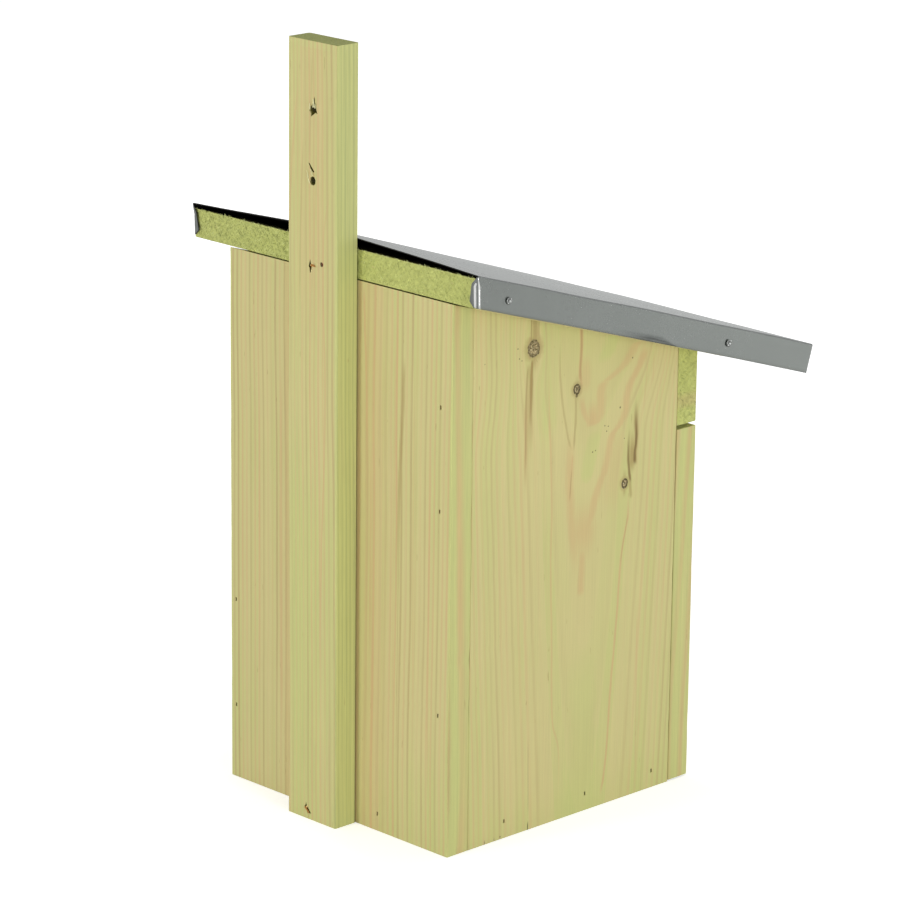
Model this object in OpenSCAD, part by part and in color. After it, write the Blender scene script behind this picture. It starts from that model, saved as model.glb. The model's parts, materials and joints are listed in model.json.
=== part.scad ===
// Nest box for garden birds: pressure-treated pine boards, a pent roof capped with
// sheet metal, a tall batten on the back to hang it by, and a hinged cleaning door.
// Front faces -Y and +Z is up. The origin is the bottom centre of the whole object.

/* [Boards] */
// Thickness of the pine boards of the box
board_t = 20; // [18:0.5:24]
// Width of the back panel and of the front boards
box_w = 228; // [190:1:280]
// Width of each side panel, from back panel to front boards
side_d = 206; // [170:1:240]
// Height of the back panel at its rear face
back_h = 400; // [385:1:460]
// Eased edge along the grain of every board
arris = 0.5; // [0.2:0.1:1.2]
// Dark joint left between the back panel and the roof boards
back_joint = 0.8; // [0.2:0.1:1.5]

/* [Floor] */
// Thickness of the floor board
floor_t = 20; // [18:0.5:24]
// How far the floor sits above the lower edge of the box
floor_recess = 3; // [1:0.5:8]
// Play between the floor and the panels round it
floor_play = 0.2; // [0.1:0.1:0.5]
// Gap between the front edge of the floor and the front boards
floor_front_gap = 1; // [0.5:0.5:4]
// Diameter of the four drain holes
drain_d = 7; // [5:0.5:10]
// Distance of the drain holes from the edges of the floor
drain_inset = 32; // [25:1:45]

/* [Front] */
// Height of the fixed board above the door, at its front face
top_board_h = 53; // [50:0.5:90]
// Thickness of the door
door_t = 20; // [18:0.5:24]
// Gap between the door and the fixed board above it
door_top_gap = 3; // [2:0.5:5]
// Height of the door above the lower edge of the box
door_lift = 1; // [0.5:0.5:3]
// Gap between the closed door and the edges of the side panels
door_seat_gap = 0.5; // [0.3:0.1:1]
// Diameter of the entrance hole
hole_d = 50; // [32:1:60]
// Distance from the top of the door to the middle of the entrance hole
hole_drop = 62; // [50:1:90]
// Easing round both rims of the entrance hole
hole_ease = 1.2; // [0.5:0.1:2]

/* [Roof] */
// Slope of the roof
roof_slope = 17; // [14:0.5:19]
// Length of the roof boards down the slope
roof_len = 354; // [335:1:400]
// Thickness of the roof boards
roof_t = 20; // [18:0.5:24]
// Width of each of the two roof boards
roof_board_w = 144; // [130:1:170]
// Joint between the two roof boards
roof_seam = 0.6; // [0.3:0.1:1.5]
// How far the roof sits off the middle of the box
roof_shift = 7.5; // [-8:0.5:8]

/* [Roof sheet] */
// Thickness of the sheet metal
sheet_t = 0.7; // [0.5:0.1:1.2]
// Gap between the sheet and the boards it is folded round
sheet_gap = 0.3; // [0.2:0.1:0.8]
// Rise of the sheet in the middle of its rear edge
crown_rear = 9; // [3:0.5:12]
// Rise of the sheet in the middle of its front edge
crown_front = 2; // [0.5:0.5:3]
// Height of the folded edges of the sheet
flange_h = 22; // [20.5:0.5:26]
// Width at its foot of the ear folded round each rear corner
ear_w = 8; // [5:0.5:12]

/* [Batten] */
// Width of the mounting batten
batten_w = 50; // [40:1:70]
// Thickness of the mounting batten
batten_t = 20; // [18:0.5:28]
// Height of the mounting batten above the back panel
batten_rise = 165; // [140:1:240]
// Radius of the batten's long edges
batten_round = 1.5; // [0.5:0.5:4]
// How far the batten sits off the middle of the box
batten_shift = 5; // [-8:0.5:8]
// Diameter of the two mounting holes
mount_hole_d = 5; // [4:0.5:8]
// Distance from the top of the batten to the upper mounting hole
mount_hole_drop = 47; // [30:1:60]
// Distance between the two mounting holes
mount_hole_pitch = 50; // [40:1:60]

/* [Brads] */
// Diameter of a brad's shank
brad_d = 1.3; // [1:0.1:1.8]
// Length of a brad
brad_len = 38; // [32:1:42]
// Height of a brad's slotted head mark
brad_head_w = 2.8; // [2:0.1:3.5]
// Depth that a brad's head is sunk under the face
brad_sink = 0.8; // [0.4:0.1:1.5]
// Distance of the left-hand back brads from the edge of the back panel
brad_inset_left = 11; // [7:0.5:14]
// Distance of the right-hand back brads from the edge of the back panel
brad_inset_right = 5.5; // [4.5:0.5:14]
// Offset of the back panel's floor brad from the middle of the box
floor_brad_x = -42.5; // [-80:0.5:-30]
// Distance of the rearmost floor brads from the rear edges of the side panels
floor_brad_rear = 36; // [20:1:60]
// Distance of the foremost floor brads from the front edges of the side panels
floor_brad_front = 18; // [12:1:40]
// Distance of the front brads from the upper and lower edges of the fixed front board
front_brad_inset = 12; // [8:1:18]
// Height of the lowest brad on the left and on the right of the back panel
brad_low = [102.5, 56]; // [40:0.5:120]
// Distance of the highest brad on the left and on the right from the top of the back panel
brad_high = [75, 105]; // [50:0.5:120]
// Place of the middle brad on the left and on the right between the other two
brad_mid_share = [0.667, 0.339]; // [0.3:0.001:0.7]
// Place of the middle floor brads between the rearmost and the foremost
floor_brad_share = 0.54; // [0.3:0.01:0.7]

/* [Nails and screws] */
// Diameter of the roof board nails
roof_nail_d = 2.5; // [2:0.1:3]
// Length of the roof board nails
roof_nail_len = 49; // [42:1:56]
// Distance of the roof board nails in the side panels from those in the back panel
roof_nail_run = [60, 165]; // [40:1:180]
// Distance of the other roof board nails from the middle of the box
roof_nail_x = 62; // [30:1:80]
// Diameter of the roof sheet nails
sheet_nail_d = 2; // [1.6:0.1:2.5]
// Length of the roof sheet nails
sheet_nail_len = 20; // [16:1:25]
// Diameter of a roof sheet nail's head
sheet_nail_head_d = 5; // [4:0.5:7]
// Distance of the rear nails in the side flanges from the rear of the roof
sheet_nail_rear = 28; // [15:1:60]
// Distance of the front nails in the side flanges from the front of the roof
sheet_nail_front = 93; // [30:1:120]
// Distance of the nails in the front flange from the middle of the roof
sheet_nail_x = 90; // [40:1:120]
// Diameter of the nail from the batten into the roof
batten_nail_d = 2.2; // [2:0.1:3]
// Length of the nail from the batten into the roof
batten_nail_len = 44; // [38:1:46]
// Depth that the nail's head is sunk under the batten's face
batten_nail_sink = 1.8; // [1:0.1:3]
// Offset of that nail from the middle of the box
batten_nail_x = -4.5; // [-14:0.5:-4]
// Diameter of the two batten screws
batten_screw_d = 4; // [3.5:0.5:5]
// Length of the two batten screws
batten_screw_len = 50; // [48:1:54]
// Height above the back panel at which the upper batten screw meets the batten's face
upper_screw_rise = 8.5; // [-5:0.5:12]
// Height at which the lower batten screw meets the batten's face
lower_screw_z = 7.5; // [6:0.5:14]

/* [Hinges] */
// Height of each hinge
hinge_h = 40; // [30:1:60]
// Width of each hinge leaf
leaf_w = 15; // [13:0.5:18]
// Thickness of the hinge leaves
leaf_t = 1.2; // [1:0.1:1.4]
// Outer diameter of the hinge knuckles
knuckle_d = 5; // [4.5:0.1:6]
// Diameter of the hinge pins
hinge_pin_d = 2.5; // [2:0.1:3]
// Distance of each hinge's middle from the end of the door
hinge_inset = 45; // [35:1:70]
// Length of the hinge screws
hinge_screw_len = 16; // [12:1:18]
// Diameter of the hinge screws
hinge_screw_d = 3; // [2.5:0.5:3.5]
// Distance of the hinge screws from the ends of each hinge
hinge_screw_inset = 8; // [6:0.5:10]

/* [Turn button] */
// Reach of the turn button from its screw
button_reach = 30; // [26:0.5:31]
// Width of the turn button
button_w = 13; // [10:0.5:16]
// Thickness of the turn button
button_t = 2; // [1.5:0.1:3]
// Height of the button's screw above the door's top edge
button_lift = 20; // [17:0.5:21]
// Distance of the button's screw from the edge of the box
button_inset = 32; // [24:1:60]
// Diameter of the button's screw
button_screw_d = 4; // [3:0.5:5]
// Length of the button's screw, from under its head
button_screw_len = 18; // [14:1:22]
// Gap between the turn button and the face of the closed door
button_clear = 0.8; // [0.5:0.1:1.5]
// Diameter of the washer behind the turn button
washer_d = 10; // [8:0.5:12]

/* [Hidden] */

$fn = 48;
pine = "#c9c487";
zinc = "#8f9490";
steel = "#a9abaa";
cut = 1;                    // how far a cutting solid runs past the face it cuts
drive_fit = 0.05;           // radial play of a driven nail or screw in its wood
run_fit = 0.06;             // radial play of a turning joint
beyond = 3 * back_h;        // larger than anything cut away with a half space

// The box, in its own frame: X = 0 is its middle and Y = 0 its rear face.
front_y = -(board_t + side_d);
door_y = front_y - door_seat_gap;
door_face_y = door_y - door_t;
top_board_face_y = front_y - board_t;
top_board_top = back_h + top_board_face_y * tan(roof_slope);
top_board_z = top_board_top - top_board_h;
door_top = top_board_z - door_top_gap;
door_h = door_top - door_lift;
inner_w = box_w - 2 * board_t;
floor_w = inner_w - 2 * floor_play;
floor_d = side_d - floor_play - floor_front_gap;
floor_mid_z = floor_recess + floor_t / 2;
side_mid_x = (box_w - board_t) / 2;
hole_z = door_top - hole_drop;

// The roof: s runs down the slope, n stands square to it.
roof_half = roof_board_w + sheet_gap;
sheet_end = roof_len + sheet_gap;
sheet_base = roof_t + sheet_gap;
flange_foot = roof_t + sheet_gap + sheet_t - flange_h;
sheet_top_front = sheet_base + crown_front + sheet_t;
sheet_front_y = -((sheet_end + sheet_t) * cos(roof_slope) + sheet_top_front * sin(roof_slope));
crown_steps = 20;

// The origin of the whole object is the bottom centre of its bounding box.
origin_shift = [-roof_shift, -(batten_t + sheet_front_y) / 2, 0];

// The brads that join the panels, spread from one end of each row to the other.
function spread(first, last, share) = [first, first + share * (last - first), last];
left_brad_z = spread(brad_low[0], back_h - brad_high[0], brad_mid_share[0]);
right_brad_z = spread(brad_low[1], back_h - brad_high[1], brad_mid_share[1]);
floor_brad_y =
    spread(-board_t - floor_brad_rear, front_y + floor_brad_front, floor_brad_share);
front_brad_z = [top_board_z + front_brad_inset, top_board_top - front_brad_inset];
brad_head_t = 1.2;

// The nails that hold the roof boards, the sheet and the batten.
roof_nail_head_d = 2 * roof_nail_d;
roof_nail_sink = 1;
sheet_nail_head_t = 0.8;
batten_nail_head_d = batten_nail_d + 1;
batten_nail_z = back_h + roof_t / 2 / cos(roof_slope);
batten_h = back_h + batten_rise;

// The batten screws slant, so that their tips stop just under the batten's face.
screw_tip_cover = 0.5;
screw_slant = acos((board_t + batten_t) / (batten_screw_len + screw_tip_cover));
screw_run = (board_t + batten_t) * tan(screw_slant);
batten_screw_x = [7, 10.5];

// The hinges lie on the right-hand faces of the side panel and the door.
hinge_x = box_w / 2 + knuckle_d / 2;
hinge_y = front_y - door_seat_gap / 2;
hinge_zs = [door_lift + hinge_inset, door_top - hinge_inset];
knuckle_h = hinge_h / 3;
knuckle_gap = 0.3;
hinge_screw_head_r = hinge_screw_d / 2 + leaf_t;
hinge_screw_y = (knuckle_d / 2 + leaf_w) / 2;
pin_head_t = 1;
pin_head_r = hinge_pin_d / 2 + 0.7;

// The turn button lies on the fixed board above the door, with air on both sides.
button_air = 0.3;
button_x = -box_w / 2 + button_inset;
button_z = door_top + button_lift;
button_y = min(top_board_face_y, door_face_y) - button_clear;
washer_t = top_board_face_y - button_air - button_y;
button_head_d = 2 * button_screw_d;
button_head_t = 2.4;

// A rectangle with eased corners, centred on the origin.
module eased(w, d) {
    polygon([for (c = [[1, 1], [-1, 1], [-1, -1], [1, -1]])
             for (k = (c[0] * c[1] > 0) ? [0, 1] : [1, 0])
             [c[0] * (w / 2 - k * arris), c[1] * (d / 2 - (1 - k) * arris)]]);
}

// A rectangle with round corners, centred on the origin.
module rounded(w, d, r) {
    square([w - 2 * r, d], center = true);
    square([w, d - 2 * r], center = true);
    for (x = [-1, 1], y = [-1, 1]) translate([x * (w / 2 - r), y * (d / 2 - r)]) circle(r = r);
}

// An upright board that stands on height z, with its middle at x, y.
module upright(x, y, z, w, d, h) {
    translate([x, y, z]) linear_extrude(h) eased(w, d);
}

// The roof's own frame: X across, Y up the slope, Z square to it.
module on_slope() {
    translate([0, 0, back_h]) rotate([roof_slope, 0, 0]) children();
}

// Everything above a plane that lies drop below the roof boards.
module above_roof(drop = 0) {
    on_slope() translate([-beyond / 2, -beyond, -drop]) cube([beyond, 2 * beyond, beyond]);
}

// Turns local +Z outwards: 0 front, 90 right, 180 back, -90 left. Local +Y is up.
module facing(heading) {
    rotate([90, 0, heading]) children();
}

// A T-headed brad driven down -Z from the face at z = 0, and the hole it makes.
module brad() {
    translate([0, 0, -brad_sink - brad_head_t / 2])
        cube([brad_d, brad_head_w, brad_head_t], center = true);
    translate([0, 0, -brad_sink - brad_len]) cylinder(d = brad_d, h = brad_len - brad_head_t);
}
module brad_hole() {
    pocket_h = cut + brad_sink + brad_head_t;
    translate([0, 0, cut - pocket_h / 2])
        cube([brad_d + 2 * drive_fit, brad_head_w + 2 * drive_fit, pocket_h], center = true);
    translate([0, 0, -brad_sink - brad_len])
        cylinder(d = brad_d + 2 * drive_fit, h = brad_len + brad_sink);
}

// A round nail with a flat head driven down -Z, its head standing proud or sunk.
module nail(d, len, head_d, head_t, sink) {
    translate([0, 0, -sink]) cylinder(d = head_d, h = head_t);
    translate([0, 0, -sink - len]) cylinder(d = d, h = len);
}
module nail_hole(d, len, head_d, sink) {
    if (sink > 0) translate([0, 0, -sink]) cylinder(d = head_d + 2 * drive_fit, h = sink + cut);
    translate([0, 0, -sink - len]) cylinder(d = d + 2 * drive_fit, h = len + sink + cut);
}

// A countersunk screw driven down -Z with its head flush at z = 0.
module screw(d, len, head_r) {
    head_h = head_r - d / 2;
    tip_h = d;
    translate([0, 0, -head_h]) cylinder(r1 = d / 2, r2 = head_r, h = head_h);
    translate([0, 0, -len + tip_h]) cylinder(d = d, h = len - tip_h - head_h);
    translate([0, 0, -len]) cylinder(r1 = d / 8, r2 = d / 2, h = tip_h);
}
module screw_hole(d, len, head_r) {
    head_h = head_r - d / 2;
    translate([0, 0, -len]) cylinder(d = d + 2 * drive_fit, h = len + cut);
    translate([0, 0, -head_h])
        cylinder(r1 = d / 2 + drive_fit, r2 = head_r + drive_fit, h = head_h);
    cylinder(r = head_r + drive_fit, h = cut);
}

// Places for each group of fasteners.
module at_back_brads() {
    for (z = left_brad_z) translate([-box_w / 2 + brad_inset_left, 0, z]) facing(180) children();
    for (z = right_brad_z) translate([box_w / 2 - brad_inset_right, 0, z]) facing(180) children();
}
module at_floor_brads() {
    for (y = floor_brad_y, side = [-1, 1])
        translate([side * box_w / 2, y, floor_mid_z]) facing(side * 90) children();
    translate([floor_brad_x, 0, floor_mid_z]) facing(180) children();
}
module at_front_brads() {
    for (side = [-1, 1], z = front_brad_z)
        translate([side * side_mid_x, top_board_face_y, z]) facing(0) children();
}
module at_roof_nails() {
    for (side = [-1, 1], run = roof_nail_run)
        on_slope() translate([side * side_mid_x, -run, roof_t]) children();
    for (side = [-1, 1], y = [-board_t / 2, front_y - board_t / 2])
        on_slope() translate([side * roof_nail_x, slope_y(y), roof_t]) children();
}
module at_sheet_nails() {
    edge = roof_half + sheet_t;
    for (side = [-1, 1], y = [-sheet_nail_rear, sheet_nail_front - sheet_end])
        on_slope() translate([roof_shift + side * edge, y, roof_t / 2])
            rotate([0, side * 90, 0]) children();
    for (side = [-1, 1])
        on_slope() translate([roof_shift + side * sheet_nail_x, -sheet_end - sheet_t, roof_t / 2])
            rotate([90, 0, 0]) children();
}
module at_batten_nail() {
    translate([batten_nail_x, batten_t, batten_nail_z]) facing(180) children();
}
module at_batten_screws() {
    translate([batten_screw_x[0], -board_t, back_h + upper_screw_rise - screw_run])
        facing(0) rotate([screw_slant, 0, 0]) children();
    translate([batten_screw_x[1], -board_t, lower_screw_z + screw_run])
        facing(0) rotate([-screw_slant, 0, 0]) children();
}
module at_hinge_screws(side) {
    reach = hinge_h / 2 - hinge_screw_inset;
    for (z = hinge_zs, dz = [-reach, reach])
        translate([box_w / 2 + leaf_t, hinge_y + side * hinge_screw_y, z + dz])
            facing(90) children();
}
module at_mount_holes() {
    for (drop = [0, mount_hole_pitch])
        translate([batten_shift, batten_t, batten_h - mount_hole_drop - drop])
            facing(180) children();
}
module at_button_screw() {
    translate([button_x, button_y - button_t - button_air, button_z]) facing(0) children();
}

// Where a nail enters the roof's top, so that it runs down the middle of a panel at y.
function slope_y(y) =
    y / cos(roof_slope) - (roof_nail_len + roof_nail_sink - roof_t) / 2 * tan(roof_slope);

// One fastener of each kind, and the hole that it fills.
module roof_nail() { nail(roof_nail_d, roof_nail_len, roof_nail_head_d, 1, roof_nail_sink); }
module roof_nail_cut() { nail_hole(roof_nail_d, roof_nail_len, roof_nail_head_d, roof_nail_sink); }
module sheet_nail() { nail(sheet_nail_d, sheet_nail_len, sheet_nail_head_d, sheet_nail_head_t, 0); }
module sheet_nail_cut() { nail_hole(sheet_nail_d, sheet_nail_len, sheet_nail_head_d, 0); }
module batten_nail() {
    nail(batten_nail_d, batten_nail_len, batten_nail_head_d, 1, batten_nail_sink);
}
module batten_nail_cut() {
    nail_hole(batten_nail_d, batten_nail_len, batten_nail_head_d, batten_nail_sink);
}
module batten_screw() { screw(batten_screw_d, batten_screw_len, batten_screw_d); }
module batten_screw_cut() {
    screw_hole(batten_screw_d, batten_screw_len, batten_screw_d);
    cylinder(r = batten_screw_d + drive_fit, h = batten_screw_d);
}
module hinge_screw() { screw(hinge_screw_d, hinge_screw_len, hinge_screw_head_r); }
module hinge_screw_cut() { screw_hole(hinge_screw_d, hinge_screw_len, hinge_screw_head_r); }
module button_screw() {
    cylinder(d = button_head_d, h = button_head_t / 2);
    translate([0, 0, button_head_t / 2])
        cylinder(d1 = button_head_d, d2 = button_head_d / 2, h = button_head_t / 2);
    translate([0, 0, -button_screw_len]) cylinder(d = button_screw_d, h = button_screw_len);
}
module button_screw_cut() {
    translate([0, 0, -button_screw_len])
        cylinder(d = button_screw_d + 2 * drive_fit, h = button_screw_len);
}
module button_screw_clear() {
    cylinder(d = button_screw_d + 2 * run_fit, h = button_screw_len, center = true);
}

module back_panel() {
    color(pine) difference() {
        upright(0, -board_t / 2, 0, box_w, board_t, back_h + cut);
        above_roof(back_joint);
        at_back_brads() brad_hole();
        at_floor_brads() brad_hole();
        at_roof_nails() roof_nail_cut();
        at_batten_screws() batten_screw_cut();
    }
}

module side_panel(side) {
    color(pine) difference() {
        upright(side * side_mid_x, -board_t - side_d / 2, 0, board_t, side_d, back_h);
        above_roof();
        at_back_brads() brad_hole();
        at_floor_brads() brad_hole();
        at_front_brads() brad_hole();
        at_roof_nails() roof_nail_cut();
        if (side > 0) at_hinge_screws(1) hinge_screw_cut();
    }
}
module left_side_panel() { side_panel(-1); }
module right_side_panel() { side_panel(1); }

module floor_panel() {
    color(pine) difference() {
        translate([0, -board_t - floor_play - floor_d / 2, floor_mid_z])
            rotate([90, 0, 90])
            translate([0, 0, -floor_w / 2]) linear_extrude(floor_w) eased(floor_d, floor_t);
        at_floor_brads() brad_hole();
        for (x = [-1, 1], y = [drain_inset, floor_d - drain_inset])
            translate([x * (floor_w / 2 - drain_inset), -board_t - floor_play - y, 0])
                cylinder(d = drain_d, h = floor_recess + floor_t + cut);
    }
}

module front_top_board() {
    color(pine) difference() {
        translate([-box_w / 2, front_y - board_t / 2, top_board_z + back_h / 2])
            rotate([90, 0, 90]) linear_extrude(box_w) eased(board_t, back_h);
        above_roof();
        at_front_brads() brad_hole();
        at_roof_nails() roof_nail_cut();
        at_button_screw() button_screw_cut();
    }
}

module door_panel() {
    color(pine) difference() {
        upright(0, door_y - door_t / 2, door_lift, box_w, door_t, door_h);
        translate([0, door_y - door_t / 2, hole_z]) rotate([90, 0, 0]) entrance_hole();
        at_hinge_screws(-1) hinge_screw_cut();
    }
}
module entrance_hole() {
    cylinder(d = hole_d, h = door_t + 2 * cut, center = true);
    for (end = [0, 1])
        mirror([0, 0, end]) translate([0, 0, door_t / 2 - hole_ease])
            cylinder(d1 = hole_d, d2 = hole_d + 2 * hole_ease, h = hole_ease);
}

module roof_board(side) {
    mid = roof_shift + side * (roof_board_w + roof_seam / 2) / 2;
    rear_run = 2 * roof_t;
    color(pine) difference() {
        on_slope() translate([mid, rear_run, roof_t / 2]) rotate([90, 0, 0])
            linear_extrude(roof_len + rear_run) eased(roof_board_w - roof_seam / 2, roof_t);
        translate([-beyond / 2, 0, 0]) cube([beyond, beyond, beyond]);
        at_roof_nails() roof_nail_cut();
        at_sheet_nails() sheet_nail_cut();
        at_batten_nail() batten_nail_cut();
    }
}
module roof_board_left() { roof_board(-1); }
module roof_board_right() { roof_board(1); }

// Outline of the sheet across the roof, from foot to foot; lift sets it off the boards.
function crown_n(x, crown) = crown * (1 - pow(x / roof_half, 2));
function sheet_line(crown, lift) =
    let (half = roof_half + lift)
    concat([[-half, flange_foot]],
           [for (k = [0:crown_steps])
            let (x = half * (2 * k / crown_steps - 1))
            [x, sheet_base + lift + crown_n(x * roof_half / half, crown)]],
           [[half, flange_foot]]);
function sheet_ring(crown) =
    let (outer = sheet_line(crown, sheet_t), inner = sheet_line(crown, 0))
    concat(outer, [for (k = [len(inner) - 1:-1:0]) inner[k]]);

module sheet_shell() {
    rear = sheet_ring(crown_rear);
    front = sheet_ring(crown_front);
    count = len(rear);
    half = count / 2;
    points = concat([for (p = rear) [p[0], p[1] * tan(roof_slope), p[1]]],
                    [for (p = front) [p[0], -(sheet_end + sheet_t), p[1]]]);
    walls = [for (k = [0:count - 1]) let (m = (k + 1) % count)
             for (f = [[k, m, k + count], [m, m + count, k + count]]) f];
    ends = [for (k = [0:half - 2]) let (a = k, b = k + 1, c = count - 2 - k, d = count - 1 - k)
            for (f = [[a, d, b], [b, d, c],
                      [count + a, count + b, count + d], [count + b, count + c, count + d]]) f];
    polyhedron(points, concat(walls, ends), convexity = 6);
}

module roof_sheet() {
    color(zinc) difference() {
        union() {
            on_slope() translate([roof_shift, 0, 0]) {
                sheet_shell();
                translate([0, -sheet_end, 0]) rotate([90, 0, 0]) linear_extrude(sheet_t)
                    polygon(sheet_line(crown_front, sheet_t / 2));
            }
            for (side = [-1, 1]) rear_ear(side);
        }
        at_sheet_nails() sheet_nail_cut();
    }
}

// The flange's end folded flat round a rear corner: a triangle, wide at its foot.
module rear_ear(side) {
    edge = roof_half + sheet_t;
    foot = back_h + flange_foot / cos(roof_slope);
    head = back_h + sheet_base / cos(roof_slope);
    translate([roof_shift, 0, 0]) mirror([(1 - side) / 2, 0, 0])
        rotate([90, 0, 0]) translate([0, 0, -sheet_t]) {
            linear_extrude(sheet_t)
                polygon([[edge, foot], [edge, head], [edge - sheet_t, head], [edge - ear_w, foot]]);
            linear_extrude(2 * sheet_t)
                translate([edge - sheet_t, foot]) square([sheet_t, head - foot]);
        }
}

module mounting_batten() {
    color(pine) difference() {
        translate([batten_shift, batten_t / 2, 0]) linear_extrude(batten_h)
            rounded(batten_w, batten_t, batten_round);
        at_mount_holes()
            translate([0, 0, -batten_t - cut]) cylinder(d = mount_hole_d, h = batten_t + 2 * cut);
        at_batten_screws() batten_screw_cut();
        at_batten_nail() batten_nail_cut();
    }
}

module back_panel_brads() { color(steel) at_back_brads() brad(); }
module floor_brads() { color(steel) at_floor_brads() brad(); }
module front_board_brads() { color(steel) at_front_brads() brad(); }
module roof_board_nails() { color(steel) at_roof_nails() roof_nail(); }
module roof_sheet_nails() { color(steel) at_sheet_nails() sheet_nail(); }
module batten_screws() { color(steel) at_batten_screws() batten_screw(); }
module batten_roof_nail() { color(steel) at_batten_nail() batten_nail(); }

// A hinge leaf about the pin at the origin: side 1 lies on the panel, -1 on the door.
module leaf(side) {
    r = knuckle_d / 2;
    clear = r + knuckle_gap;
    ends = side > 0 ? [-1, 1] : [0];
    difference() {
        union() {
            translate([-r, side > 0 ? clear : -leaf_w, -hinge_h / 2])
                cube([leaf_t, leaf_w - clear, hinge_h]);
            for (k = ends) translate([0, 0, k * knuckle_h]) {
                h = knuckle_h - (k == 0 ? knuckle_gap : knuckle_gap / 2);
                shift = k * knuckle_gap / 4;
                translate([0, 0, shift - h / 2]) cylinder(r = r, h = h);
                translate([-r, side > 0 ? 0 : -clear - cut, shift - h / 2])
                    cube([leaf_t, clear + cut, h]);
            }
        }
        translate([0, 0, -hinge_h]) cylinder(d = hinge_pin_d + 2 * run_fit, h = 2 * hinge_h);
    }
}
module placed_leaf(k, side) {
    color(steel) difference() {
        translate([hinge_x, hinge_y, hinge_zs[k]]) leaf(side);
        at_hinge_screws(side) hinge_screw_cut();
    }
}
module hinge_pin(k) {
    color(steel) translate([hinge_x, hinge_y, hinge_zs[k] - hinge_h / 2]) {
        cylinder(d = hinge_pin_d, h = hinge_h);
        for (z = [-pin_head_t, hinge_h]) translate([0, 0, z]) cylinder(r = pin_head_r, h = pin_head_t);
    }
}
module lower_hinge_fixed_leaf() { placed_leaf(0, 1); }
module lower_hinge_door_leaf() { placed_leaf(0, -1); }
module lower_hinge_pin() { hinge_pin(0); }
module upper_hinge_fixed_leaf() { placed_leaf(1, 1); }
module upper_hinge_door_leaf() { placed_leaf(1, -1); }
module upper_hinge_pin() { hinge_pin(1); }
module hinge_fixed_screws() { color(steel) at_hinge_screws(1) hinge_screw(); }
module hinge_door_screws() { color(steel) at_hinge_screws(-1) hinge_screw(); }

// The button points to the right at rest, clear of the door.
module turn_button() {
    arm = button_reach - button_w / 2;
    color(steel) difference() {
        translate([button_x, button_y, button_z]) rotate([90, 0, 0]) linear_extrude(button_t) {
            translate([0, -button_w / 2]) square([arm, button_w]);
            for (x = [0, arm]) translate([x, 0]) circle(d = button_w);
        }
        at_button_screw() button_screw_clear();
    }
}
module turn_button_washer() {
    color(steel) difference() {
        translate([button_x, top_board_face_y, button_z]) rotate([90, 0, 0])
            cylinder(d = washer_d, h = washer_t);
        at_button_screw() button_screw_clear();
    }
}
module turn_button_screw() { color(steel) at_button_screw() button_screw(); }

translate(origin_shift) {
    back_panel();
    left_side_panel();
    right_side_panel();
    floor_panel();
    front_top_board();
    door_panel();
    roof_board_left();
    roof_board_right();
    roof_sheet();
    mounting_batten();
    back_panel_brads();
    floor_brads();
    front_board_brads();
    roof_board_nails();
    roof_sheet_nails();
    batten_screws();
    batten_roof_nail();
    upper_hinge_fixed_leaf();
    upper_hinge_door_leaf();
    upper_hinge_pin();
    lower_hinge_fixed_leaf();
    lower_hinge_door_leaf();
    lower_hinge_pin();
    hinge_fixed_screws();
    hinge_door_screws();
    turn_button();
    turn_button_washer();
    turn_button_screw();
}
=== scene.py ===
"""Bird house of treated pine under a folded metal roof: the finish of every board and fitting."""

import json
import math
import random
from dataclasses import dataclass
from functools import reduce
from types import SimpleNamespace

import bmesh
import bpy
from bpy.props import FloatProperty, FloatVectorProperty, IntProperty, PointerProperty
from mathutils import Matrix, Vector, noise

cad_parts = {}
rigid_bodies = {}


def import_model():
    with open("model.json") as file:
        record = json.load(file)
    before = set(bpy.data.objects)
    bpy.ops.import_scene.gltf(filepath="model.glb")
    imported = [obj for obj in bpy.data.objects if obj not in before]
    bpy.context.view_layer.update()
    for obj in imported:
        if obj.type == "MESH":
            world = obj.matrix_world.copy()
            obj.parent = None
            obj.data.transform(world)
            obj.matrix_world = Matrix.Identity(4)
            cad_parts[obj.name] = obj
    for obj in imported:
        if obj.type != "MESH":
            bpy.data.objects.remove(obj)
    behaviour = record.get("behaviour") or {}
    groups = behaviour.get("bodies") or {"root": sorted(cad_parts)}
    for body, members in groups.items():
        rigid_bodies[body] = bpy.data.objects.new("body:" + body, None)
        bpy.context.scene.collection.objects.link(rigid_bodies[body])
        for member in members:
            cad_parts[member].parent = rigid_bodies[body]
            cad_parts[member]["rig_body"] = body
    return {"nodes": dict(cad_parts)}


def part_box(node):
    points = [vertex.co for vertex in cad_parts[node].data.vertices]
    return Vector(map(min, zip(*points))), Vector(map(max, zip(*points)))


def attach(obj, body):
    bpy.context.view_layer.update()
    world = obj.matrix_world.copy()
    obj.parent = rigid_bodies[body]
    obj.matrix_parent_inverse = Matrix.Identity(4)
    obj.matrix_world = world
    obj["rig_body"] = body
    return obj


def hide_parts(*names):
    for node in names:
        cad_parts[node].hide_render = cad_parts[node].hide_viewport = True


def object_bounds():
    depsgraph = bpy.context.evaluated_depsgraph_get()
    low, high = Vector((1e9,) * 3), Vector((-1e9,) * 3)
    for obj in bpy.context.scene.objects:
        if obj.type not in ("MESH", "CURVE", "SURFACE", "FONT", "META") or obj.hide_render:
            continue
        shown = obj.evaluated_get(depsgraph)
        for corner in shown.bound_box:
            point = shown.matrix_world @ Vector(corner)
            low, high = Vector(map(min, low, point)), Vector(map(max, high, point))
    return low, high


bl_info = {
    "name": "Bird House",
    "version": (1, 0, 0),
    "blender": (4, 5, 0),
    "location": "View3D > Sidebar > Bird House",
    "description": "Finishes a pine bird house with a folded metal roof",
    "category": "Object",
}

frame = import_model()
NODES = frame["nodes"]
CAD_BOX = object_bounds()

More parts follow.
